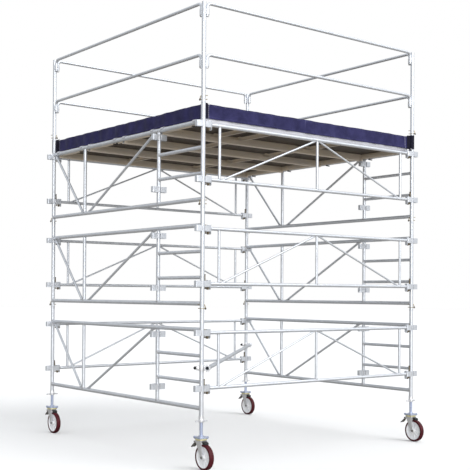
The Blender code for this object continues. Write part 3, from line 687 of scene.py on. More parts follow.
def ladderFrame():
    shape = bmesh.new()
    foot = -ladder["drop"] + jointGap / 2
    head = ladder["lift"] - ladder["drop"] - 1.5 * jointGap
    stile = ladder["stileOffset"]
    up = (0, 0, 1)
    across = (0, 1, 0)
    for side in (-1, 1):
        y = side * halfBay
        inward = (0, -side, 0)
        pipe(shape, (0, y, foot), (0, y, head), ladder["post"], ladder["bore"], 32, 0.1)
        rod(shape, (0, y, head - 0.07), (0, y, head + ladder["spigotReach"]), ladder["spigot"], 20, 0.003,
            0.3)
        pipe(shape, (0, y, head - 0.012), (0, y, head), ladder["collar"], ladder["post"] - 0.001, 32, 0.3)
        for z in (0, ladder["rise"]):
            weld(shape, (0, y, z), inward, ladder["chord"], up, ladder["post"])
    for z in (0, ladder["rise"]):
        reach = halfBay - ladder["cope"]
        rod(shape, (0, -reach, z), (0, reach, z), ladder["chord"], 28, 0, 0.05)
    for side in (-1, 1):
        y = side * stile
        rod(shape, (0, y, 0.004), (0, y, ladder["rise"] - 0.004), ladder["stile"], 28, 0, 0.05)
        weld(shape, (0, y, 0), up, ladder["stile"], across, ladder["chord"])
        weld(shape, (0, y, ladder["rise"]), (0, 0, -1), ladder["stile"], across, ladder["chord"])
    for step in (1, 2):
        z = step * ladder["rungPitch"]
        rod(shape, (0, -halfBay + ladder["cope"], z), (0, -stile - ladder["cope"], z), ladder["rung"], 24, 0,
            0.2)
        weld(shape, (0, -halfBay, z), across, ladder["rung"], up, ladder["post"])
        weld(shape, (0, -stile, z), (0, -1, 0), ladder["rung"], up, ladder["stile"])
    for name in ("longDiagonal", "shortDiagonal"):
        (footY, footZ), (headY, headZ) = ladder[name]
        start = Vector((0, footY, footZ))
        end = Vector((0, headY, headZ))
        rod(shape, start, end, ladder["diagonal"], 20, 0, 0.05)
        weld(shape, start, end - start, ladder["diagonal"], across, ladder["chord"])
        weld(shape, end, start - end, ladder["diagonal"], across, ladder["chord"])
    for level in pocket["levels"]:
        for side in (-1, 1):
            pressedPocket(shape, -halfBay, level, side)
            pressedPocket(shape, halfBay, level, side)
            pressedPocket(shape, -stile, level - pocket["stileDrop"], side)
    return shape


brace = {"chord": 0.017, "upright": 0.014, "diagonal": 0.010, "uprightInset": 0.20, "plate": 0.006,
         "plateWidth": 0.038, "plateDrop": 0.056, "plateTop": 0.036, "prong": (0.0545, 0.0735),
         "prongWidth": 0.0215, "prongDrop": 0.056}


def dropHook(shape, level, side):
    # a plate on the chord's end, folded over the pocket's rim into a prong
    near = pocket["reach"] + jointGap
    far = near + brace["plate"]
    half = brace["plateWidth"] / 2
    flip = Matrix.Diagonal((-side, 1, 1, 1))
    place = movedTo(side * halfBay, 0, level) @ flip
    top = pocket["half"]
    outline = [(-half, -brace["plateDrop"] + 0.008), (-half + 0.008, -brace["plateDrop"]),
               (half - 0.008, -brace["plateDrop"]), (half, -brace["plateDrop"] + 0.008),
               (half, brace["plateTop"]), (-half, brace["plateTop"])]
    prism(shape, outline, far - near, place @ movedTo(near, 0, 0) @ outlineX, 0.0012, 0.1)
    inner, outer = brace["prong"]
    thin = brace["prongWidth"] / 2
    block(shape, (inner, -thin - 0.004, top + 0.0006),
          (far - 0.001, thin + 0.004, brace["plateTop"] - 0.0005),
          0.0012, 0.1, place)
    wrapped(shape, [(inner, top + 0.003), (outer, top + 0.003), (inner, -0.036), (outer, -0.036),
                    (inner + 0.005, -brace["prongDrop"]), (outer - 0.006, -brace["prongDrop"])],
            brace["prongWidth"], place @ movedTo(0, -thin, 0) @ outlineY, 0.001, 0.9)


def braceFrame():
    shape = bmesh.new()
    low, high = pocket["levels"]
    end = halfBay - pocket["reach"] - brace["plate"]
    upright = halfBay - brace["uprightInset"]
    along = (1, 0, 0)
    for level in pocket["levels"]:
        rod(shape, (-end, 0, level), (end, 0, level), brace["chord"], 24, 0, 0.05)
        for side in (-1, 1):
            dropHook(shape, level, side)
            weld(shape, (side * (end + 0.001), 0, level), (-side, 0, 0), brace["chord"], (0, 1, 0), 0.0005)
    for x in (-upright, 0, upright):
        rod(shape, (x, 0, low + 0.004), (x, 0, high - 0.004), brace["upright"], 22, 0, 0.05)
        weld(shape, (x, 0, low), (0, 0, 1), brace["upright"], along, brace["chord"])
        weld(shape, (x, 0, high), (0, 0, -1), brace["upright"], along, brace["chord"])
    for side in (-1, 1):
        start = Vector((side * 0.015, 0, high - 0.008))
        finish = Vector((side * (upright - 0.03), 0, low + 0.008))
        rod(shape, start, finish, brace["diagonal"], 18, 0, 0.05)
        weld(shape, start + Vector((0, 0, 0.008)), finish - start, brace["diagonal"], along, brace["chord"])
        weld(shape, finish - Vector((0, 0, 0.008)), start - finish, brace["diagonal"], along, brace["chord"])
    return shape


latch = {"width": 0.013, "inset": 0.034, "top": 0.086, "short": 0.030, "foot": -0.047, "lean": 4,
         "head": 0.0062}


def braceLatches():
    # a locking wedge through each pocket; the lower ones stand proud, with a rolled head
    shape = bmesh.new()
    half = latch["width"] / 2
    for level in pocket["levels"]:
        for side in (-1, 1):
            place = movedTo(side * (halfBay - latch["inset"]), 0,
                            level) @ turnedAbout("Y", side * latch["lean"])
            lower = level == pocket["levels"][0]
            top = latch["top"] if lower else latch["short"]
            wrapped(shape, [(-0.0025, latch["foot"]), (0.0025, latch["foot"]), (0.0055, top), (-0.0055, top)],
                    latch["width"], place @ movedTo(0, -half, 0) @ outlineY, 0.001, 0.7)
            rod(shape, place @ Vector((0, -half - 0.003, top)), place @ Vector((0, half + 0.003, top)),
                latch["head"],
                14, 0.001, 0.9 if lower else 0.5)
            inner, outer = brace["prong"]
            tip = movedTo(side * halfBay, -0.0118, level) @ Matrix.Diagonal((-side, 1, 1, 1)) @ outlineY
            wrapped(shape, [(inner - 0.001, -0.034), (outer + 0.001, -0.034), (inner + 0.004, -0.0575),
                            (outer - 0.005, -0.0575)], 0.0236, tip, 0.001, 0.75)
            rod(shape, place @ Vector((0, -half - 0.003, latch["foot"])),
                place @ Vector((0, half + 0.003, latch["foot"])), 0.0045, 12, 0.0, 1.0)
    return shape


def addFrames():
    ladderShape = ladderFrame()
    braceShape = braceFrame()
    latchShape = braceLatches()
    for lift in range(3):
        height = firstChord + lift * ladder["lift"]
        for name, side in (("left", -1), ("right", 1)):
            node = f"ladder_frame_{name}_{lift + 1}"
            finishPiece(f"{node}_tubes", ladderShape, tubeZinc, "tower", "galvanised_tube", [node],
                        movedTo(side * halfBay, 0, height))
        for name, side in (("front", -1), ("back", 1)):
            node = f"brace_frame_{name}_{lift + 1}"
            place = movedTo(0, side * halfBay, height)
            finishPiece(f"{node}_tubes", braceShape, tubeZinc, "tower", "galvanised_tube", [node], place)
            finishPiece(f"brace_latches_{name}_{lift + 1}", latchShape, brownZinc, "tower", "clamp_steel",
                        (), place)
    for shape in (ladderShape, braceShape, latchShape):
        shape.free()
    print("frames and braces ready")


pin = {"leg": 0.0036, "legs": (0.024, 0.060), "far": (0.0385, 0.0415), "lever": 0.0042, "knob": 0.0078,
       "keeper": 0.0264, "wire": 0.0026, "turned": (("front_left", 1), ("front_right", 1), ("front_right", 3),
                                                    ("back_left", 3), ("back_right", 2))}


def spigotPin():
    # a sprung pin: two legs through the joint, a lever with a knob, and a keeper half round the post
    shape = bmesh.new()
    low, high = pin["legs"]
    for height, reach in zip(pin["legs"], pin["far"]):
        rod(shape, (-0.024, 0, height), (reach, 0, height), pin["leg"], 14, 0.0008, 0.4)
    lever = [(-0.018, 0, high), (-0.0235, 0, high - 0.001), (-0.0265, 0, high - 0.006),
             (-0.0315, 0, low + 0.012),
             (-0.0335, 0, low + 0.002)]
    sweep(shape, lever, pin["lever"], 10, None, 0.3)
    rod(shape, (-0.0325, 0, low + 0.008), (-0.0355, 0, low - 0.011), pin["knob"], 16, 0.002, 1.0)
    rod(shape, (-0.022, 0, low), (-0.034, 0, low), pin["leg"], 12, 0.0, 0.6)
    keeper = [(x, y, low - 0.001) for x, y in arc(0, 0, pin["keeper"], -8, 188, 18)]
    sweep(shape, keeper, pin["wire"], 8, None, 0.1)
    return shape


def addPins():
    shape = spigotPin()
    for corner in corners:
        for lift in range(1, 4):
            spot = postSpots[corner]
            height = firstChord + lift * ladder["lift"] - ladder["drop"]
            turn = 135 if (corner, lift) in pin["turned"] else -45
            finishPiece(f"spigot_pins_{corner}_{lift}", shape, brownZinc, "tower", "clamp_steel", (),
                        movedTo(spot.x, spot.y, height) @ turnedAbout("Z", turn))
    shape.free()


platform = {"rail": 0.025, "bottom": -0.036, "top": 0.050, "ply": 0.012, "beam": 0.030, "beamDepth": 0.056,
            "grooves": (-0.018, 0.002, 0.022), "grooveWidth": 0.007, "grooveDepth": 0.0022, "bead": 0.003,
            "barWidth": 0.040, "barSag": 0.020, "hookInset": 0.09, "hookWidth": 0.042,
            "hookInner": 0.0228, "hookWall": 0.0068, "rivet": 0.0042}


def railOutline():
    # the extrusion's section: grooved outer face, bead along the foot, rebate for the ply
    lower, upper = platform["bottom"], platform["top"]
    depth = platform["grooveDepth"]
    half = platform["grooveWidth"] / 2
    outline = [(platform["bead"], lower), (0, lower + platform["bead"])]
    for height in platform["grooves"]:
        outline += [(0, height - half), (depth, height - half + 0.0012), (depth, height + half - 0.0012),
                    (0, height + half)]
    outline += [(0, upper - 0.0015), (0.0015, upper), (0.0125, upper), (0.0125, upper - 0.0035),
                (platform["rail"] - 0.001, upper - 0.0035), (platform["rail"], upper - 0.006),
                (platform["rail"], lower + 0.002), (platform["rail"] - 0.002, lower)]
    return outline


def deckHook(shape, x, y, side):
    # a cast hook that sits over the chord, with its web to the end beam
    inner = platform["hookInner"]
    wall = platform["hookWall"]
    half = platform["hookWidth"] / 2
    outline = arc(0, 0, inner, 176, 10, 14) + arc(0, 0, inner + wall, 10, 40, 3)
    outline += [(0.036, 0.026), (0.052, 0.026), (0.052, 0.0335), (0.030, 0.034)]
    outline += arc(0, 0, inner + wall, 82, 172, 8)
    flip = movedTo(x, y - half, 0) @ Matrix.Diagonal((-side, 1, 1, 1))
    prism(shape, outline, platform["hookWidth"], flip @ outlineY, 0.0014, 0.15)
    block(shape, (0.0405, 0.004, -0.020), (0.0455, platform["hookWidth"] - 0.004, 0.030), 0.001, 0.15, flip)


def crossBar(shape, x, half, seat):
    # a pressed member, lower in the middle than at its ends
    path = []
    for step in range(13):
        share = step / 12
        y = (2 * share - 1) * half
        dip = platform["barSag"] * min(1, 4.0 * (1 - abs(2 * share - 1))) ** 2
        path.append((x, y, seat - 0.010 - dip))
    wide = platform["barWidth"] / 2
    outline = [(-0.009, -wide), (0.009, -wide), (0.009, -wide + 0.004), (-0.004, -wide + 0.007),
               (-0.004, wide - 0.007), (0.009, wide - 0.004), (0.009, wide), (-0.009, wide)]
    sweep(shape, path, 0, 0, outline, 0.1)


def platformFrame(width, length, bars):
    shape = bmesh.new()
    half = width / 2
    end = length / 2
    seat = platform["top"] - platform["ply"] - jointGap
    outline = railOutline()
    prism(shape, outline, length, movedTo(-end, -half, 0) @ outlineX, 0, 0.1)
    prism(shape, outline, length, movedTo(-end, half, 0) @ Matrix.Diagonal((1, -1, 1, 1)) @ outlineX, 0, 0.1)
    inner = half - platform["rail"] + 0.0005
    for side in (-1, 1):
        near, far = sorted((side * (end - 0.0015), side * (end - platform["beam"])))
        block(shape, (near, -inner, seat - platform["beamDepth"]), (far, inner, seat), 0.002, 0.1)
        for y in (-half + platform["hookInset"], half - platform["hookInset"]):
            deckHook(shape, side * halfBay, y, side)
    for x in bars:
        crossBar(shape, x, inner, seat)
    for x in (-end + 0.015, *bars, end - 0.015):
        for side in (-1, 1):
            for height in (-0.008, 0.012):
                dome(shape, (x, side * half, height), (0, side, 0), platform["rivet"], 0.0016)
    layer = shape.verts.layers.float["wearAndShade"]
    for vert in shape.verts:  # painted shade: the inside and under faces get 1, which the aluminium paints beige as a painted reflection tint for the shade under the deck; all other faces get 0
        within = abs(vert.co.y) < half - 0.0026 and abs(vert.co.x) < end + 0.001
        vert[layer] = 1.0 if within and vert.co.z < platform["top"] - 0.002 else 0.0
    return shape


catch = {"width": 0.018, "besideHook": 0.042}
screws = {"count": 9, "endInset": 0.03, "edgeInset": 0.016}


def windLocks(width):
    # black catches that close under the chord beside one hook of each end
    shape = bmesh.new()
    for side in (-1, 1):
        y = side * (width / 2 - platform["hookInset"] - catch["besideHook"])
        place = movedTo(side * halfBay, y - catch["width"] / 2, 0) @ Matrix.Diagonal((-side, 1, 1, 1))
        wrapped(shape, [(0.046, 0.010), (0.039, 0.010), (0.036, -0.030), (0.046, -0.034)], catch["width"],
                place @ outlineY, 0.001, 0.1)
        wrapped(shape, [(0.046, -0.024), (0.046, -0.034), (-0.006, -0.036), (-0.010, -0.028)], catch["width"],
                place @ outlineY, 0.001, 0.1)
    return shape


def deckPanel(low, high):
    shape = bmesh.new()
    block(shape, low, high, 0.0012, 0.0)
    layer = shape.verts.layers.float["wearAndShade"]
    middle = (low.z + high.z) / 2
    for vert in shape.verts:
        inside = low.z + 0.0011 < vert.co.z < high.z - 0.0011
        vert[layer] = 1.0 if inside and abs(vert.co.z - middle) < 0.01 else 0.0
    return shape


def deckScrews(low, high):
    shape = bmesh.new()
    inset = screws["endInset"]
    for step in range(screws["count"]):
        x = low.x + inset + (high.x - low.x - 2 * inset) * step / (screws["count"] - 1)
        for y in (low.y + screws["edgeInset"], high.y - screws["edgeInset"]):
            turned(shape,
                   [(0, -0.001), (0.0055, -0.001), (0.0055, 0.0003), (0.0045, 0.0008), (0.0012, 0.0008),
                           (0.0008, 0.0001), (0, 0.0001)], 12, movedTo(x, y, high.z), False, 0.5)
    return shape


def addDeck():
    for index in range(1, 5):
        low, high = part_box(f"platform_frame_{index}")
        panelLow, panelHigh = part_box(f"deck_panel_{index}")
        end = halfBay - 0.04
        width = high.y - low.y
        place = movedTo(0, (low.y + high.y) / 2, deckChord)
        bars = (-0.5, 0.5) if index > 1 else (panelLow.x, -0.5, 0.5)
        shape = platformFrame(width, 2 * end, bars)
        node = f"platform_frame_{index}"
        finishOnce(f"{node}_extrusions", shape, aluminium, "tower", "deck_aluminium", [node], place)
        locks = windLocks(width)
        finishOnce(f"wind_locks_{index}", locks, blackMoulding, "tower", "pedal_steel", (), place)
        panel = deckPanel(panelLow, panelHigh)
        finishOnce(f"deck_panel_{index}_ply", panel, deckPly, "tower", "deck_plywood",
                   [f"deck_panel_{index}"])
        finishOnce(f"deck_screws_{index}", deckScrews(panelLow, panelHigh), plateZinc, "tower",
                   "deck_aluminium")
    print("deck ready")


hatch = {"hingeInset": 0.12, "knuckle": 0.0023, "knuckleHalf": 0.0075, "leafHalf": 0.025,
         "screwRadius": 0.004,
         "handleInset": 0.05, "ring": 0.022, "ringWire": 0.003}


def addHatch():
    low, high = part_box("hatch_lid")
    lid = deckPanel(low, high)
    hinges = (low.x + hatch["hingeInset"], high.x - hatch["hingeInset"])
    for x in hinges:
        block(lid, (x - 0.024, low.y + 0.002, high.z - 0.0001), (x + 0.024, low.y + 0.062, high.z + 0.0018),
              0.0006, 0.4)
    finishOnce("hatch_lid_ply", lid, deckPly, "hatch", "hatch_plywood", ["hatch_lid"])
    metal = bmesh.new()
    hinge = {joint["name"]: joint for joint in frame["joints"]}["hatch_hinge"]["pos_m"]
    for x in hinges:
        block(metal, (x - hatch["leafHalf"], low.y + 0.0015, high.z + 0.0002),
              (x + hatch["leafHalf"], low.y + 0.065, high.z + 0.0022),
              0.0006, 0.3)
        rod(metal, (x - 0.012, hinge[1], hinge[2]), (x + 0.012, hinge[1], hinge[2]), hatch["knuckle"], 14)
        for y in (low.y + 0.022, low.y + 0.048):
            for shift in (-0.014, 0.014):
                dome(metal, (x + shift, y, high.z + 0.0022), (0, 0, 1), hatch["screwRadius"], 0.0014)
    handleX = (low.x + high.x) / 2
    handleY = high.y - hatch["handleInset"]
    turned(metal, [(0.030, 0), (0.031, 0.0012), (0.027, 0.002), (0.0265, 0)], 28,
           movedTo(handleX, handleY, high.z), True, 0.3)
    loop = [(handleX + hatch["ring"] * math.cos(turn), handleY + hatch["ring"] * math.sin(turn),
             high.z + 0.0042)
            for turn in (2 * math.pi * step / 24 for step in range(24))]
    sweep(metal, loop, hatch["ringWire"], 8, None, 0.2, True)
    finishOnce("hatch_fittings", metal, plateZinc, "hatch", "deck_aluminium")
    fixed = bmesh.new()
    for x in hinges:
        for shift in (-0.020, 0.020):
            left, right = x + shift - hatch["knuckleHalf"], x + shift + hatch["knuckleHalf"]
            rod(fixed, (left, hinge[1], hinge[2]), (right, hinge[1], hinge[2]), hatch["knuckle"], 14)
            block(fixed, (left, hinge[1] - 0.022, hinge[2] - 0.0005), (right, hinge[1], hinge[2] + 0.0012),
                  0.0004, 0.3)
    finishOnce("hatch_hinge_leaves", fixed, plateZinc, "tower", "deck_aluminium")
    print("hatch ready")


guard = {"offset": 0.0395, "sleeve": 0.0196, "sleeveBore": 0.0172, "sleeveTop": -0.055, "sleeveFoot": -0.115,
         "prong": -0.130, "bend": 0.045, "rail": 0.0158}


def railHeights():
    heights = {}
    for level in ("mid", "top"):
        heights[level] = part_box(f"guard_rail_front_{level}")[1].z - guard["rail"]
    return heights


def guardPost(heights):
    shape = bmesh.new()
    foot = firstChord + 3 * ladder["lift"] - ladder["drop"] + jointGap / 2
    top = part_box("guard_post_front_left")[1].z
    pipe(shape, (0, 0, foot), (0, 0, top - 0.004), ladder["post"], ladder["bore"], 32, 0.1)
    turned(shape,
           [(0, top), (0.016, top), (0.0208, top - 0.003), (0.0212, top - 0.0045), (0.0212, top - 0.010),
                   (0, top - 0.010)], 28)
    for height in heights.values():
        for x, y in ((guard["offset"], 0), (0, guard["offset"])):
            spot = Vector((x, y, height))
            pipe(shape, spot + Vector((0, 0, guard["sleeveFoot"])), spot + Vector((0, 0, guard["sleeveTop"])),
                 guard["sleeve"], guard["sleeveBore"], 28, 0.2)
            side = Vector((y, x, 0)).normalized()
            for edge in (-1, 1):
                root = Vector((x * 0.52, y * 0.52, height)) + side * edge * 0.0095
                sweep(shape, [root + Vector((0, 0, guard["sleeveFoot"] + 0.003)),
                              root + Vector((0, 0, guard["sleeveTop"] - 0.003))], 0.0042, 6, None, 1.0)
    return shape


def guardRail():
    # a tube along X that turns down at both ends into the sleeves
    shape = bmesh.new()
    reach = halfBay - guard["offset"]
    bend = guard["bend"]
    right = [(reach, guard["prong"])] + arc(reach - bend, -bend, bend, 0, 90, 9)
    path = [(x, 0, z) for x, z in right] + [(-x, 0, z) for x, z in reversed(right)]
    sweep(shape, path, guard["rail"], 26, None, 0.08)
    return shape


def prongPins(heights):
    # a pin under each rail end and a spring button on each sleeve
    shape = bmesh.new()
    for height in heights.values():
        for x, y in ((guard["offset"], 0), (0, guard["offset"])):
            side = Vector((y, x, 0)).normalized()
            centre = Vector((x, y, height + guard["prong"] + 0.007))
            rod(shape, centre - side * 0.021, centre + side * 0.021, 0.0032, 10, 0.0, 0.3)
            out = Vector((x, y, 0)).normalized()
            knob = Vector((x, y, height - 0.085)) + out * (guard["sleeve"] - 0.0005)
            rod(shape, knob, knob + out * 0.005, 0.0038, 10, 0.0, 0.3)
    return shape


def addGuard():
    heights = railHeights()
    post = guardPost(heights)
    rail = guardRail()
    pins = prongPins(heights)
    for index, corner in enumerate(corners):
        spot = postSpots[corner]
        place = movedTo(spot.x, spot.y, 0) @ turnedAbout("Z", 90 * index)
        finishPiece(f"guard_post_{corner}_tube", post, tubeZinc, "tower", "galvanised_tube",
                    [f"guard_post_{corner}"], place)
        finishPiece(f"guard_pins_{corner}", pins, brownZinc, "tower", "clamp_steel", (), place)
    for index, side in enumerate(("front", "right", "back", "left")):
        for level, height in heights.items():
            node = f"guard_rail_{side}_{level}"
            place = turnedAbout("Z", 90 * index) @ movedTo(0, -halfBay, height)
            finishPiece(f"{node}_tube", rail, tubeZinc, "tower", "galvanised_tube", [node], place)
    for shape in (post, rail, pins):
        shape.free()
    print("guard rails ready")


def sheetGrid(name, length, height, seed):
    # the flat cut in X, Z, with its own map in metres and a little unevenness to start the folds
    columns = round(length / cloth["cell"])
    part = bmesh.new()
    bmesh.ops.create_grid(part, x_segments=columns, y_segments=cloth["rows"], size=0.5)
    bmesh.ops.scale(part, vec=(length, height, 1), verts=part.verts)
    chart = part.loops.layers.uv.new("cut")
    for face in part.faces:
        for loop in face.loops:
            loop[chart].uv = (loop.vert.co.x + length / 2, loop.vert.co.y + height / 2)
    bmesh.ops.rotate(part, cent=(0, 0, 0), matrix=Matrix.Rotation(math.radians(90), 3, "X"), verts=part.verts)
    for vert in part.verts:
        spot = Vector((vert.co.x * 7, seed, vert.co.z * 9))
        vert.co.y += cloth["unevenness"] * noise.noise(spot)
    mesh = bpy.data.meshes.new(name)
    part.to_mesh(mesh)
    part.free()
    sheet = bpy.data.objects.new(name, mesh)
    bpy.context.scene.collection.objects.link(sheet)
    return sheet, columns


def hangSheet(sheet, columns, length, height):
    # the strip is pinned at both ends and at its ties, and a little too long for its span
    held = sheet.vertex_groups.new(name="held")
    cellWide = length / columns
    for vert in sheet.data.vertices:
        column = round((vert.co.x + length / 2) / cellWide)
        low = vert.co.z < -height / 2 + 0.001
        high = vert.co.z > height / 2 - 0.001
        end = column <= cloth["ends"] or column >= columns - cloth["ends"]
        tie = column % cloth["tieEvery"] == cloth["tieEvery"] // 2
        if end or (low and tie) or (high and column % (2 * cloth["tieEvery"]) == cloth["tieEvery"]):
            held.add([vert.index], 1.0, "REPLACE")
    bpy.context.view_layer.objects.active = sheet
    drape = sheet.modifiers.new("Cloth", "CLOTH")
    settings = drape.settings
    settings.quality = cloth["quality"]
    settings.mass = cloth["mass"]
    settings.tension_stiffness = cloth["stretch"]
    settings.compression_stiffness = cloth["stretch"]
    settings.shear_stiffness = cloth["shear"]
    settings.bending_stiffness = cloth["bending"]
    settings.air_damping = cloth["damping"]
    settings.vertex_group_mass = "held"
    settings.effector_weights.gravity = 0  # the hem cords carry the weight
    settings.shrink_min = -cloth["slack"]
    settings.shrink_max = -cloth["slack"]
    drape.collision_settings.use_collision = False
    drape.point_cache.frame_start = 1
    drape.point_cache.frame_end = cloth["frames"]
    scene = bpy.context.scene
    for step in range(1, cloth["frames"] + 1):
        scene.frame_set(step)
    shaped = bpy.data.meshes.new_from_object(sheet.evaluated_get(bpy.context.evaluated_depsgraph_get()))
    for before, after in zip(sheet.data.vertices, shaped.vertices):
        shift = after.co - before.co
        for axis, limit in enumerate(cloth["caps"]):
            shift[axis] = max(-limit, min(limit, shift[axis]))
        after.co = before.co + shift
    sheet.modifiers.clear()
    sheet.data = shaped
    scene.frame_set(1)


def thickenSheet(sheet, height):
    solid = bmesh.new()
    solid.from_mesh(sheet.data)
    bmesh.ops.solidify(solid, geom=solid.faces[:], thickness=cloth["thickness"])
    bmesh.ops.recalc_face_normals(solid, faces=solid.faces)
    solid.normal_update()
    moves = []
    for vert in solid.verts:
        if abs(vert.co.z) > height / 2 - cloth["hem"] - 0.001:
            side = 1 if vert.normal.y > 0 else -1
            moves.append((vert, Vector((0, side * cloth["hemSwell"], 0))))
    for vert, move in moves:
        vert.co += move
    solid.to_mesh(sheet.data)
    solid.free()


def addToeSheets():
    low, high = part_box("toe_sheet_front")
    length = high.x - low.x
    height = high.z - low.z
    inset = halfBay + (low.y + high.y) / 2
    for index, side in enumerate(("front", "right", "back", "left")):
        sheet, columns = sheetGrid(f"toe_sheet_{side}_canvas", length, height, 5 * index)
        hangSheet(sheet, columns, length, height)
        thickenSheet(sheet, height)
        sheet.data.transform(turnedAbout("Z", 90 * index) @ movedTo(0, -halfBay + inset,
                                                                    (low.z + high.z) / 2))
        sheet.data.materials.append(navyCanvas)
        sheet.data.shade_smooth()
        sheet.data.set_sharp_from_angle(angle=math.radians(50))
        node = f"toe_sheet_{side}"
        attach(sheet, "tower")
        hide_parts(node)
    print("toe sheets ready")


strap = {"thickness": 0.0016, "clear": 0.0240, "low": -0.010, "high": 0.148, "start": 0.0235, "edge": 0.0565,
         "flap": 0.056, "proud": 0.0022, "ring": 0.0085, "ringWire": 0.0022}


def edgeStrap(shape, plane):
    # webbing sewn down the end of a sheet, standing a little above it
    width = strap["edge"]
    for out in (-strap["proud"], strap["proud"]):
        path = [(strap["start"], plane + out), (strap["start"] + width, plane + out)]
        band(shape, path, strap["high"] - 0.006, strap["thickness"], movedTo(0, 0, 0.004), 0.2)
    block(shape, (strap["start"] - 0.001, plane - 0.003, 0.004), (strap["start"] + 0.0015, plane + 0.003,
                                                                  strap["high"] - 0.002), 0.0008, 0.2)


def cornerStrap(plane):
    # a tall flap from the other sheet's end round the outside of the post, with a tail below it
    shape = bmesh.new()
    edgeStrap(shape, plane)
    clear = strap["clear"]
    path = [(plane - 0.003, strap["flap"]),
            (plane - 0.0045, strap["flap"] - 0.016)] + arc(0, 0, clear, 72, 232, 20)
    band(shape, path, strap["high"] - strap["low"], strap["thickness"], movedTo(0, 0, strap["low"]), 0.2)
    front = movedTo(-clear - 0.0015, 0, 0) @ outlineX
    wrapped(shape, [(0.010, -0.004), (0.050, 0.004), (0.062, -0.012), (0.052, -0.036), (0.030, -0.028)],
            0.0020,
            front, 0.0006, 0.2)
    wrapped(shape, [(0.048, 0.0), (0.074, -0.008), (0.080, -0.032), (0.064, -0.040)], 0.0018,
            movedTo(0, 0, -0.0016) @ front, 0.0006, 0.2)
    return shape


def strapBuckle(plane, flap):
    shape = bmesh.new()
    spots = [(movedTo(strap["start"] + strap["edge"] + 0.002, plane - 0.005, strap["high"] - 0.008),
              strap["ring"])]
    if flap:
        spots.append((movedTo(-strap["clear"] - 0.003, 0.046, -0.016) @ turnedAbout("Z", 90),
                      strap["ring"] * 0.6))
    for spot, reach in spots:
        loop = [spot @ Vector((x, 0, z)) for x, z in arc(0, 0, reach, 0, 342, 19)]
        sweep(shape, loop, strap["ringWire"], 8, None, 0.1, True)
        rod(shape, spot @ Vector((-reach, 0, 0)), spot @ Vector((reach, 0, 0)), strap["ringWire"] * 0.8, 8,
            0.0, 0.1)
    return shape


def addStraps():
    low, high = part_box("toe_sheet_front")
    plane = halfBay + (low.y + high.y) / 2
    for index, corner in enumerate(corners):
        flap = corner != "front_left"
        if flap:
            webbing = cornerStrap(plane)
        else:
            webbing = bmesh.new()
            edgeStrap(webbing, plane)
        buckle = strapBuckle(plane, flap)
        spot = postSpots[corner]
        place = movedTo(spot.x, spot.y, low.z) @ turnedAbout("Z", 90 * index)
        finishOnce(f"corner_strap_{corner}", webbing, blackWebbing, "tower", "toe_canvas", (), place)
        finishOnce(f"strap_buckle_{corner}", buckle, plateZinc, "tower", "clamp_steel", (), place)
    print("straps ready")


level = {"radius": 0.0205, "tubeBore": 0.0173, "offset": 0.058, "before": 0.03, "after": 0.07,
         "shell": 0.0285,
         "bore": 0.0216, "length": 0.052, "knob": 0.017, "bolt": 0.009, "boltLift": 0.031, "wall": 0.004}


def addLevelBrace():
    height = (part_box("plan_brace")[0].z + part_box("plan_brace")[1].z) / 2
    along = Vector((1, 1, 0)).normalized()
    beside = Vector((1, -1, 0)).normalized()
    start = Vector(postSpots["front_left"]).xy.to_3d() + beside * level["offset"] + Vector((0, 0, height))
    span = 2 * halfBay * math.sqrt(2)
    tube = bmesh.new()
    pipe(tube, start - along * level["before"], start + along * (span + level["after"]), level["radius"],
         level["tubeBore"], 32)
    finishOnce("plan_brace_tube", tube, tubeZinc, "tower", "galvanised_tube", ["plan_brace"])
    for name, corner in (("near", "front_left"), ("far", "back_right")):
        spot = Vector(postSpots[corner]).xy.to_3d() + Vector((0, 0, height))
        finishPiece(f"plan_clamp_{name}_coupler", couplerShape(spot, along, beside), plateZinc, "tower",
                    "clamp_steel",
                    [f"plan_clamp_{name}"])
        knob = bmesh.new()
        handle = spot - beside * 0.050
        turned(knob, [(0, 0.016), (0.007, 0.0155), (level["knob"] * 0.8, 0.012), (level["knob"], 0.006),
                      (level["knob"], -0.006), (level["knob"] * 0.8,
                                                -0.011), (0.008, -0.014), (0, -0.014)], 6,
               pointing(handle - beside * 0.012, -beside), False, 0.2)
        finishOnce(f"plan_clamp_{name}_knob", knob, blackMoulding, "tower", "pedal_steel")


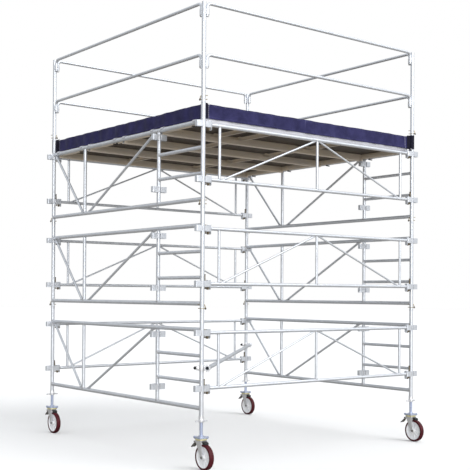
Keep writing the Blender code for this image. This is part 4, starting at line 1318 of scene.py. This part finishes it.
def couplerShape(spot, along, beside):
    # two pressed shells, one round the post and one round the brace, joined by a rivet
    shape = bmesh.new()
    half = level["length"] / 2
    ring = [(level["shell"] - 0.0005, -half), (level["shell"], -half + 0.004), (level["shell"] - 0.0012, 0),
            (level["shell"], half - 0.004), (level["shell"] - 0.0005,
                                             half), (level["bore"], half), (level["bore"], -half)]
    turned(shape, ring, 32, Matrix.Translation(spot), True, 0.2)
    centre = spot + beside * level["offset"]
    turned(shape, ring, 32, pointing(centre, along), True, 0.2)
    frameOf = Matrix.Translation(spot) @ Matrix(((beside.x, along.x, 0, 0), (beside.y, along.y, 0, 0),
                                                 (0, 0, 1, 0), (0, 0, 0, 1)))
    middle = level["offset"] / 2
    block(shape, (middle - 0.006, -0.020, -0.020), (middle + 0.006, 0.020, 0.020), 0.002, 0.2, frameOf)
    for y in (-0.014, 0.006):
        block(shape, (-0.050, y, -0.022), (-0.024, y + 0.008, 0.022), 0.002, 0.2, frameOf)
    block(shape, (-0.050, -0.017, -0.0085), (-0.038, 0.017, 0.0085), 0.002, 0.3, frameOf)
    rod(shape, frameOf @ Vector((-0.048, 0, 0)), frameOf @ Vector((-0.062, 0, 0)), 0.0055, 16, 0.0, 0.4)
    for side in (-1, 1):
        block(shape, (level["offset"] - 0.012, -0.018, side * 0.027 - level["wall"]),
              (level["offset"] + 0.030 - 0.014, 0.018, side * 0.027 + level["wall"]), 0.002, 0.2, frameOf)
    for side, head in ((1, 0.008), (-1, 0.007)):
        hexBolt(shape, frameOf @ Vector((level["offset"], 0, side * level["boltLift"])), (0, 0, side),
                level["bolt"],
                head, True, 0.4)
    return shape


jack = {"core": 0.0150, "crest": 0.0169, "pitch": 0.008, "threadFrom": 0.330, "threadTo": 0.70, "top": 0.90,
        "turnSteps": 18, "collar": 0.024}


def screwThread(shape):
    # the thread's section for one pitch, spun up the screw
    part = bmesh.new()
    core, crest, pitch = jack["core"], jack["crest"], jack["pitch"]
    section = [(core, 0), (core, 0.22 * pitch), (crest, 0.42 * pitch), (crest, 0.80 * pitch), (core, pitch)]
    points = [part.verts.new((radius, 0, jack["threadFrom"] + height)) for radius, height in section]
    edges = [part.edges.new(pair) for pair in zip(points, points[1:])]
    turns = round((jack["threadTo"] - jack["threadFrom"]) / pitch) - 1
    steps = turns * jack["turnSteps"]
    bmesh.ops.spin(part, geom=points + edges, cent=(0, 0, 0), axis=(0, 0, 1), angle=2 * math.pi * turns,
                   steps=steps, dvec=(0, 0, pitch / jack["turnSteps"]), use_merge=False, use_duplicate=False)
    bmesh.ops.remove_doubles(part, verts=part.verts, dist=0.00003)
    bmesh.ops.holes_fill(part, edges=[edge for edge in part.edges if edge.is_boundary], sides=0)
    join(shape, part, None, 0.25)


def jackScrew(low, high):
    shape = bmesh.new()
    half = (high.x - low.x) / 2
    collar = jack["collar"]
    rod(shape, (0, 0, low.z + 0.012), (0, 0, jack["top"]), jack["core"] + 0.0002, 20, 0.0, 0.2)
    screwThread(shape)
    plateTop = low.z + 0.016
    ring = [(0.0135, plateTop - 0.001), (collar, plateTop - 0.001), (collar, plateTop + 0.010),
            (collar - 0.002, plateTop + 0.0125), (0.0172, plateTop + 0.0125), (0.0135, plateTop + 0.012)]
    turned(shape, ring, 28, None, True, 0.2)
    weld(shape, (0, 0, plateTop - 0.0003), (0, 0, 1), collar, (1, 0, 0), 0.0005)
    block(shape, (-half, -half, low.z + 0.0084), (half, half, plateTop), 0.0015, 0.15)
    block(shape, (-half + 0.002, -half + 0.002, low.z + 0.0004), (half - 0.002, half - 0.002, low.z + 0.0080),
          0.0015,
          0.15)
    bolt = half - 0.0105
    for x in (-bolt, bolt):
        for y in (-bolt, bolt):
            hexBolt(shape, (x, y, plateTop), (0, 0, 1), 0.0082, 0.0055)
            rod(shape, (x, y, low.z - 0.006), (x, y, low.z + 0.001), 0.004, 12, 0.0, 0.3)
    return shape


nut = {"flange": 0.030, "neck": 0.0248, "bore": 0.0171, "wing": 0.075, "wingRadius": 0.0068}


def jackNut(low, high):
    # a cast collar nut with two wing handles
    shape = bmesh.new()
    step = low.z + 0.022
    profile = [(nut["bore"], low.z), (nut["flange"] - 0.002, low.z), (nut["flange"], low.z + 0.002),
               (nut["flange"], step - 0.003), (nut["flange"] - 0.003,
                                               step), (nut["neck"] + 0.001, step + 0.001),
               (nut["neck"], step + 0.004), (nut["neck"], high.z - 0.0015), (nut["neck"] - 0.0015, high.z),
               (nut["bore"], high.z)]
    turned(shape, profile, 36, None, True, 0.2)
    middle = (low.z + step) / 2
    for side in (-1, 1):
        root = side * (nut["flange"] - 0.006)
        tip = side * (nut["wing"] - nut["wingRadius"])
        path = [(root, 0, middle + 0.002), (side * 0.045, 0, middle), (side * 0.060, 0, middle - 0.001),
                (tip, 0, middle)]
        sweep(shape, path, nut["wingRadius"] * 0.92, 14, None, 0.25)
        wrapped(shape, [(root, middle - 0.009), (root, middle + 0.009), (side * 0.052, middle + 0.004),
                        (side * 0.052, middle - 0.004)], 0.006, movedTo(0, -0.003, 0) @ outlineY, 0.001, 0.2)
        part = bmesh.new()
        bmesh.ops.create_uvsphere(part, u_segments=14, v_segments=10, radius=nut["wingRadius"])
        join(shape, part, movedTo(tip, 0, middle), 0.4)
    return shape


fork = {"legX": (0.0322, 0.0368), "crownTop": 0.2805, "crownFoot": 0.257, "front": -0.048, "back": 0.044,
        "foot": 0.0165, "rib": 0.0018, "raceway": 0.058, "raceTop": 0.2955, "axle": 0.0078, "head": 0.0115,
        "lugs": (0.0262, 0.0308), "pedalPivot": (0.066, 0.262)}


def casterFork(axle):
    shape = bmesh.new()
    near, far = fork["legX"]
    top = fork["crownTop"]
    outline = [(fork["front"], top - 0.004), (fork["back"], top - 0.004), (fork["back"] - 0.006, top - 0.024),
               (fork["front"] + 0.008, top - 0.020)]
    outline += arc(axle.y, axle.z, fork["foot"], 0, 345, 23)
    rib = [(fork["front"] + 0.014, top - 0.026), (fork["back"] - 0.016, top - 0.026)]
    rib += arc(axle.y, axle.z + 0.012, 0.009, 0, 340, 17)
    for side in (-1, 1):
        place = Matrix.Diagonal((side, 1, 1, 1)) @ movedTo(near, 0, 0) @ outlineX
        wrapped(shape, outline, far - near, place, 0.0012, 0.15)
        place = Matrix.Diagonal((side, 1, 1, 1)) @ movedTo(far - 0.0005, 0, 0) @ outlineX
        wrapped(shape, rib, fork["rib"], place, 0.0012, 0.2)
        turned(shape,
               [(0.0085, far - 0.0005), (0.0165, far - 0.0005), (0.0165, far + 0.0010),
                (0.0085, far + 0.0010)],
               24, pointing((0, axle.y, axle.z), (side, 0, 0)), True, 0.3)
    crown = [(-far, fork["front"] + 0.006), (-far + 0.006, fork["front"]), (far - 0.006, fork["front"]),
             (far, fork["front"] + 0.006), (far, fork["back"] - 0.004), (far - 0.004, fork["back"] + 0.002),
             (-far + 0.004, fork["back"] + 0.002), (-far, fork["back"] - 0.004)]
    wrapped(shape, crown, 0.006, movedTo(0, 0, top - 0.006), 0.0015, 0.15)
    for side in (-1, 1):
        low, high = sorted(side * x for x in fork["lugs"])
        wrapped(shape, [(0.030, 0.272), (0.030, 0.2535), *arc(*fork["pedalPivot"], 0.0085, -90, 90, 8)],
                high - low,
                movedTo(low, 0, 0) @ outlineX, 0.0008, 0.2)
    turned(shape,
           [(0, fork["crownFoot"] - 0.006), (0.011, fork["crownFoot"] - 0.006),
            (0.012, fork["crownFoot"] + 0.006),
                   (0.012, top - 0.006), (0, top - 0.006)], 6, None, False, 0.3)
    return shape


def raceway():
    # upper and lower race cups with the slit between them
    shape = bmesh.new()
    radius = fork["raceway"]
    top = fork["raceTop"]
    turned(shape, [(0, top), (radius - 0.003, top), (radius, top - 0.002), (radius, top - 0.0065),
                   (radius - 0.004, top - 0.0078), (radius - 0.004,
                                                    top - 0.0092), (radius - 0.0015, top - 0.0098),
                   (radius - 0.004, top - 0.0145), (radius - 0.012, top - 0.0165), (0, top - 0.0165)], 48)
    return shape


def axleBolt(axle):
    shape = bmesh.new()
    reach = fork["legX"][1] + 0.0012
    rod(shape, (-reach - 0.004, axle.y, axle.z), (reach + 0.004, axle.y, axle.z), fork["axle"] - 0.0006, 18,
        0.0, 0.3)
    for side in (-1, 1):
        hexBolt(shape, (side * reach, axle.y, axle.z), (side, 0, 0), fork["head"], 0.0072, True, 0.3)
        rod(shape, (side * (reach + 0.006), axle.y, axle.z), (side * (reach + 0.0105), axle.y, axle.z),
            0.0062, 16,
            0.0, 0.4)
    for side in (-1, 1):
        hexBolt(shape, (side * 0.0312, *fork["pedalPivot"]), (side, 0, 0), 0.0065, 0.004, True, 0.3)
    return shape


wheel = {"rim": 0.104, "half": 0.0245, "boss": 0.028, "web": 0.010, "ribs": 10, "ribHeight": 0.008,
         "bore": 0.0088, "rimLip": 0.021}


def wheelCentre():
    # the moulded centre about Z: hub, ribbed web and rim
    shape = bmesh.new()
    rim, web, lip = wheel["rim"], wheel["web"], wheel["rimLip"]
    outer = [(wheel["bore"], wheel["boss"]), (0.019, wheel["boss"]), (0.021, wheel["boss"] - 0.002),
             (0.0245, 0.016), (0.030, web + 0.001), (0.034, web), (rim - 0.014,
                                                                   web), (rim - 0.010, web + 0.002),
             (rim - 0.007, lip - 0.001), (rim - 0.005, lip), (rim + 0.0005, lip)]
    profile = outer + [(radius, -height) for radius, height in reversed(outer)]
    turned(shape, profile, 56, None, True, 0.1)
    for step in range(wheel["ribs"]):
        for side in (-1, 1):
            place = turnedAbout("Z", 360 * step / wheel["ribs"] + 9 * side)
            low, high = sorted((side * (web - 0.001), side * (web + wheel["ribHeight"] * 0.7)))
            block(shape, (0.024, -0.0018, low), (rim - 0.008, 0.0018, high), 0.0008, 0.15, place)
    return shape


def wheelTread(radius):
    shape = bmesh.new()
    half = wheel["half"]
    rim = wheel["rim"] - 0.001
    shoulder = [(rim, 0.019), (rim, half - 0.0005), (rim + 0.004, half), (radius - 0.006, half)]
    shoulder += [(radius - 0.0065 + 0.0062 * math.sin(turn),
                  half - 0.0065 + 0.0065 * math.cos(turn)) for turn in
                 (math.radians(18 * step) for step in range(1, 5))]
    outer = shoulder + [(radius - 0.0002, half * 0.55), (radius, half * 0.3), (radius, 0)]
    profile = outer + [(reach, -height) for reach, height in reversed(outer[:-1])]
    turned(shape, profile, 72, None, True, 0.0)
    layer = shape.verts.layers.float["wearAndShade"]
    for vert in shape.verts:
        vert[layer] = 1.0 if vert.co.xy.length > radius - 0.002 else 0.1
    return shape


pedal = {"half": 0.022, "thickness": 0.0045, "barrel": 0.0090, "bore": 0.0046, "barrelHalf": 0.0252,
         "bars": 5,
         "barPitch": 0.0082}


def brakePedal(pivot, tip):
    # a pressed pedal with turned-down edges and tread bars across its foot pad
    shape = bmesh.new()
    line = tip - pivot
    length = line.length
    across = Vector((1, 0, 0))
    up = across.cross(line.normalized()) * -1
    if up.z < 0:
        up = -up
    forward = line.normalized()
    place = Matrix.Translation(pivot) @ Matrix(((1, forward.x, up.x, 0), (0, forward.y, up.y, 0),
                                                (0, forward.z, up.z, 0), (0, 0, 0, 1)))
    half = pedal["half"]
    thick = pedal["thickness"] / 2
    wrapped(shape,
            [(-0.018, 0.006), (0.018, 0.006), (half, length * 0.45), (half, length - 0.006),
             (half - 0.006, length),
                    (-half + 0.006, length), (-half, length - 0.006), (-half, length * 0.45)], 2 * thick,
            place @ movedTo(0, 0, -thick), 0.001, 0.15)
    for side in (-1, 1):
        low, high = sorted((side * (half - 0.003), side * half))
        block(shape, (low, length * 0.42, -0.009), (high, length - 0.008, -thick + 0.001), 0.0008, 0.2, place)
    for step in range(pedal["bars"]):
        y = length * 0.52 + step * pedal["barPitch"]
        block(shape, (-half + 0.004, y, thick - 0.0005), (half - 0.004, y + 0.003, thick + 0.0016), 0.0006,
              0.5, place)
    reach = across * pedal["barrelHalf"]
    pipe(shape, pivot - reach, pivot + reach, pedal["barrel"], pedal["bore"], 24, 0.2)
    return shape


shoeSize = {"gap": 0.0012, "from": -16, "step": 4, "width": 0.046, "foot": 0.2565, "top": 0.268}


def brakeBlock(axle, radius):
    # a rubber shoe held on the crown's lip just over the tread
    shape = bmesh.new()
    reach = radius + shoeSize["gap"]
    turns = [math.radians(shoeSize["from"] + shoeSize["step"] * step) for step in range(5)]
    shoe = [(axle.y + reach * math.sin(turn), axle.z + reach * math.cos(turn)) for turn in turns]
    foot, top = shoeSize["foot"], shoeSize["top"]
    outline = shoe + [(shoe[-1][0], foot), (-0.050, foot), (-0.050, top), (-0.080, top), (-0.091, 0.258)]
    prism(shape, outline, shoeSize["width"], movedTo(-shoeSize["width"] / 2, 0, 0) @ outlineX, 0.0012, 0.2)
    return shape


def addCasters():
    for corner in corners:
        spot = postSpots[corner]
        away = movedTo(-spot.x, -spot.y, 0)
        place = movedTo(spot.x, spot.y, 0)
        screwLow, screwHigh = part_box(f"jack_screw_{corner}")
        nutLow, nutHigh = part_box(f"jack_nut_{corner}")
        axle = away @ centreOf(f"caster_wheel_{corner}")
        radius = axle.z
        pedalLow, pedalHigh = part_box(f"brake_pedal_{corner}")
        joints = {joint["name"]: joint for joint in frame["joints"]}
        pivot = away @ Vector(joints[f"brake_pedal_{corner}"]["pos_m"])
        tip = away @ Vector((spot.x, pedalHigh.y - 0.002, pedalLow.z + 0.003))
        onSide = place @ Matrix.Translation(axle) @ turnedAbout("Y", 90)
        steel = [
            (f"jack_screw_{corner}_thread", jackScrew(screwLow, screwHigh), screwZinc, f"jack_{corner}",
             "jack_steel",
             [f"jack_screw_{corner}"], place),
            (f"jack_nut_{corner}_casting", jackNut(nutLow, nutHigh), plateZinc, f"nut_{corner}",
             "galvanised_tube",
             [f"jack_nut_{corner}"], place),
            (f"caster_fork_{corner}_pressing", casterFork(axle), plateZinc, f"swivel_{corner}", "fork_steel",
             [f"caster_fork_{corner}"], place),
            (f"caster_raceway_{corner}", raceway(), yellowZinc, f"swivel_{corner}", "fork_steel", (), place),
            (f"caster_bolts_{corner}", axleBolt(axle), darkPlate, f"swivel_{corner}", "fork_steel", (),
             place),
            (f"brake_block_{corner}", brakeBlock(axle, radius), blackMoulding, f"swivel_{corner}",
             "pedal_steel", (),
             place),
            (f"wheel_centre_{corner}", wheelCentre(), whiteMoulding, f"wheel_{corner}", "wheel_tread",
             [f"caster_wheel_{corner}"], onSide),
            (f"wheel_tread_{corner}", wheelTread(radius), redTread, f"wheel_{corner}", "wheel_tread",
             [f"caster_wheel_{corner}"], onSide),
            (f"brake_pedal_{corner}_pressing", brakePedal(pivot, tip), darkPlate, f"pedal_{corner}",
             "pedal_steel",
             [f"brake_pedal_{corner}"], place),
        ]
        for name, shape, material, body, slotName, nodes, where in steel:
            finishOnce(name, shape, material, body, slotName, nodes, where)
    print("casters ready")


studio = {"floorSize": 90.0, "floorColour": (0.94, 0.94, 0.94), "floorBounce": (0.300, 0.280, 0.250),
          "worldTop": 0.84, "worldSide": 0.52}

suns = {"key": {"from": (3.5, -11.0, 9.0), "strength": 2.1, "spread": 50},
        "fill": {"from": (-7.0, -11.0, 1.0), "strength": 1.65, "spread": 25}}


def addStudio():
    part = bmesh.new()
    bmesh.ops.create_circle(part, cap_ends=True, segments=64, radius=studio["floorSize"])
    mesh = bpy.data.meshes.new("studio_floor")
    part.to_mesh(mesh)
    part.free()
    made, tree, inputs, spot, wornAndShaded = newMaterial("pale floor", 0.8)
    tone = blendColour(tree, speckle(tree, spot, 0.6, 3.0), studio["floorColour"],
                       tuple(value * 0.985 for value in studio["floorColour"]))
    seen = addNode(tree, "ShaderNodeLightPath").outputs["Is Camera Ray"]
    bounce = blendColour(tree, seen, studio["floorBounce"], (1, 1, 1))
    tree.links.new(blendColour(tree, 1.0, tone, bounce, "MULTIPLY"), inputs["Base Color"])
    mesh.materials.append(made)
    floor = bpy.data.objects.new("studio_floor", mesh)
    bpy.context.scene.collection.objects.link(floor)
    for name, sun in suns.items():
        lamp = bpy.data.lights.new(name, "SUN")
        lamp.energy = sun["strength"]
        lamp.angle = math.radians(sun["spread"])
        holder = bpy.data.objects.new(name, lamp)
        holder.location = sun["from"]
        holder.rotation_euler = (-Vector(sun["from"])).to_track_quat("-Z", "Y").to_euler()
        bpy.context.scene.collection.objects.link(holder)
    world = bpy.data.worlds.new("studio")
    bpy.context.scene.world = world
    world.use_nodes = True
    tree = world.node_tree
    tree.nodes.clear()
    ray = addNode(tree, "ShaderNodeTexCoord").outputs["Generated"]
    height = axesOf(tree, ray)[2]
    strength = spread(tree, height, -0.05, 0.75, studio["worldSide"], studio["worldTop"])
    soft = addNode(tree, "ShaderNodeBackground",
                   {"Color": (0.96, 0.98, 1.0, 1), "Strength": strength}).outputs[0]
    plain = addNode(tree, "ShaderNodeBackground", {"Color": (1, 1, 1, 1), "Strength": 1.0}).outputs[0]
    seen = addNode(tree, "ShaderNodeLightPath").outputs["Is Camera Ray"]
    both = addNode(tree, "ShaderNodeMixShader", {0: seen, 1: soft, 2: plain}).outputs[0]
    addNode(tree, "ShaderNodeOutputWorld", {"Surface": both})
    bpy.context.scene.view_settings.view_transform = "Standard"


view = {"place": (-6.919, -8.787, 1.677), "turnDegrees": (90.547, -0.380, -38.618), "lens": 72.81,
        "shiftUp": 0.1055}


def addCamera():
    camera = bpy.data.cameras.new("camera")
    camera.lens = view["lens"]
    camera.sensor_width = 36
    camera.shift_y = view["shiftUp"]
    camera.clip_end = 200
    holder = bpy.data.objects.new("camera", camera)
    holder.location = view["place"]
    holder.rotation_euler = [math.radians(value) for value in view["turnDegrees"]]
    bpy.context.scene.collection.objects.link(holder)
    bpy.context.scene.camera = holder


addCamera()
addStudio()
addFrames()
addPins()
addDeck()
addHatch()
addGuard()
addToeSheets()
addStraps()
addLevelBrace()
addCasters()
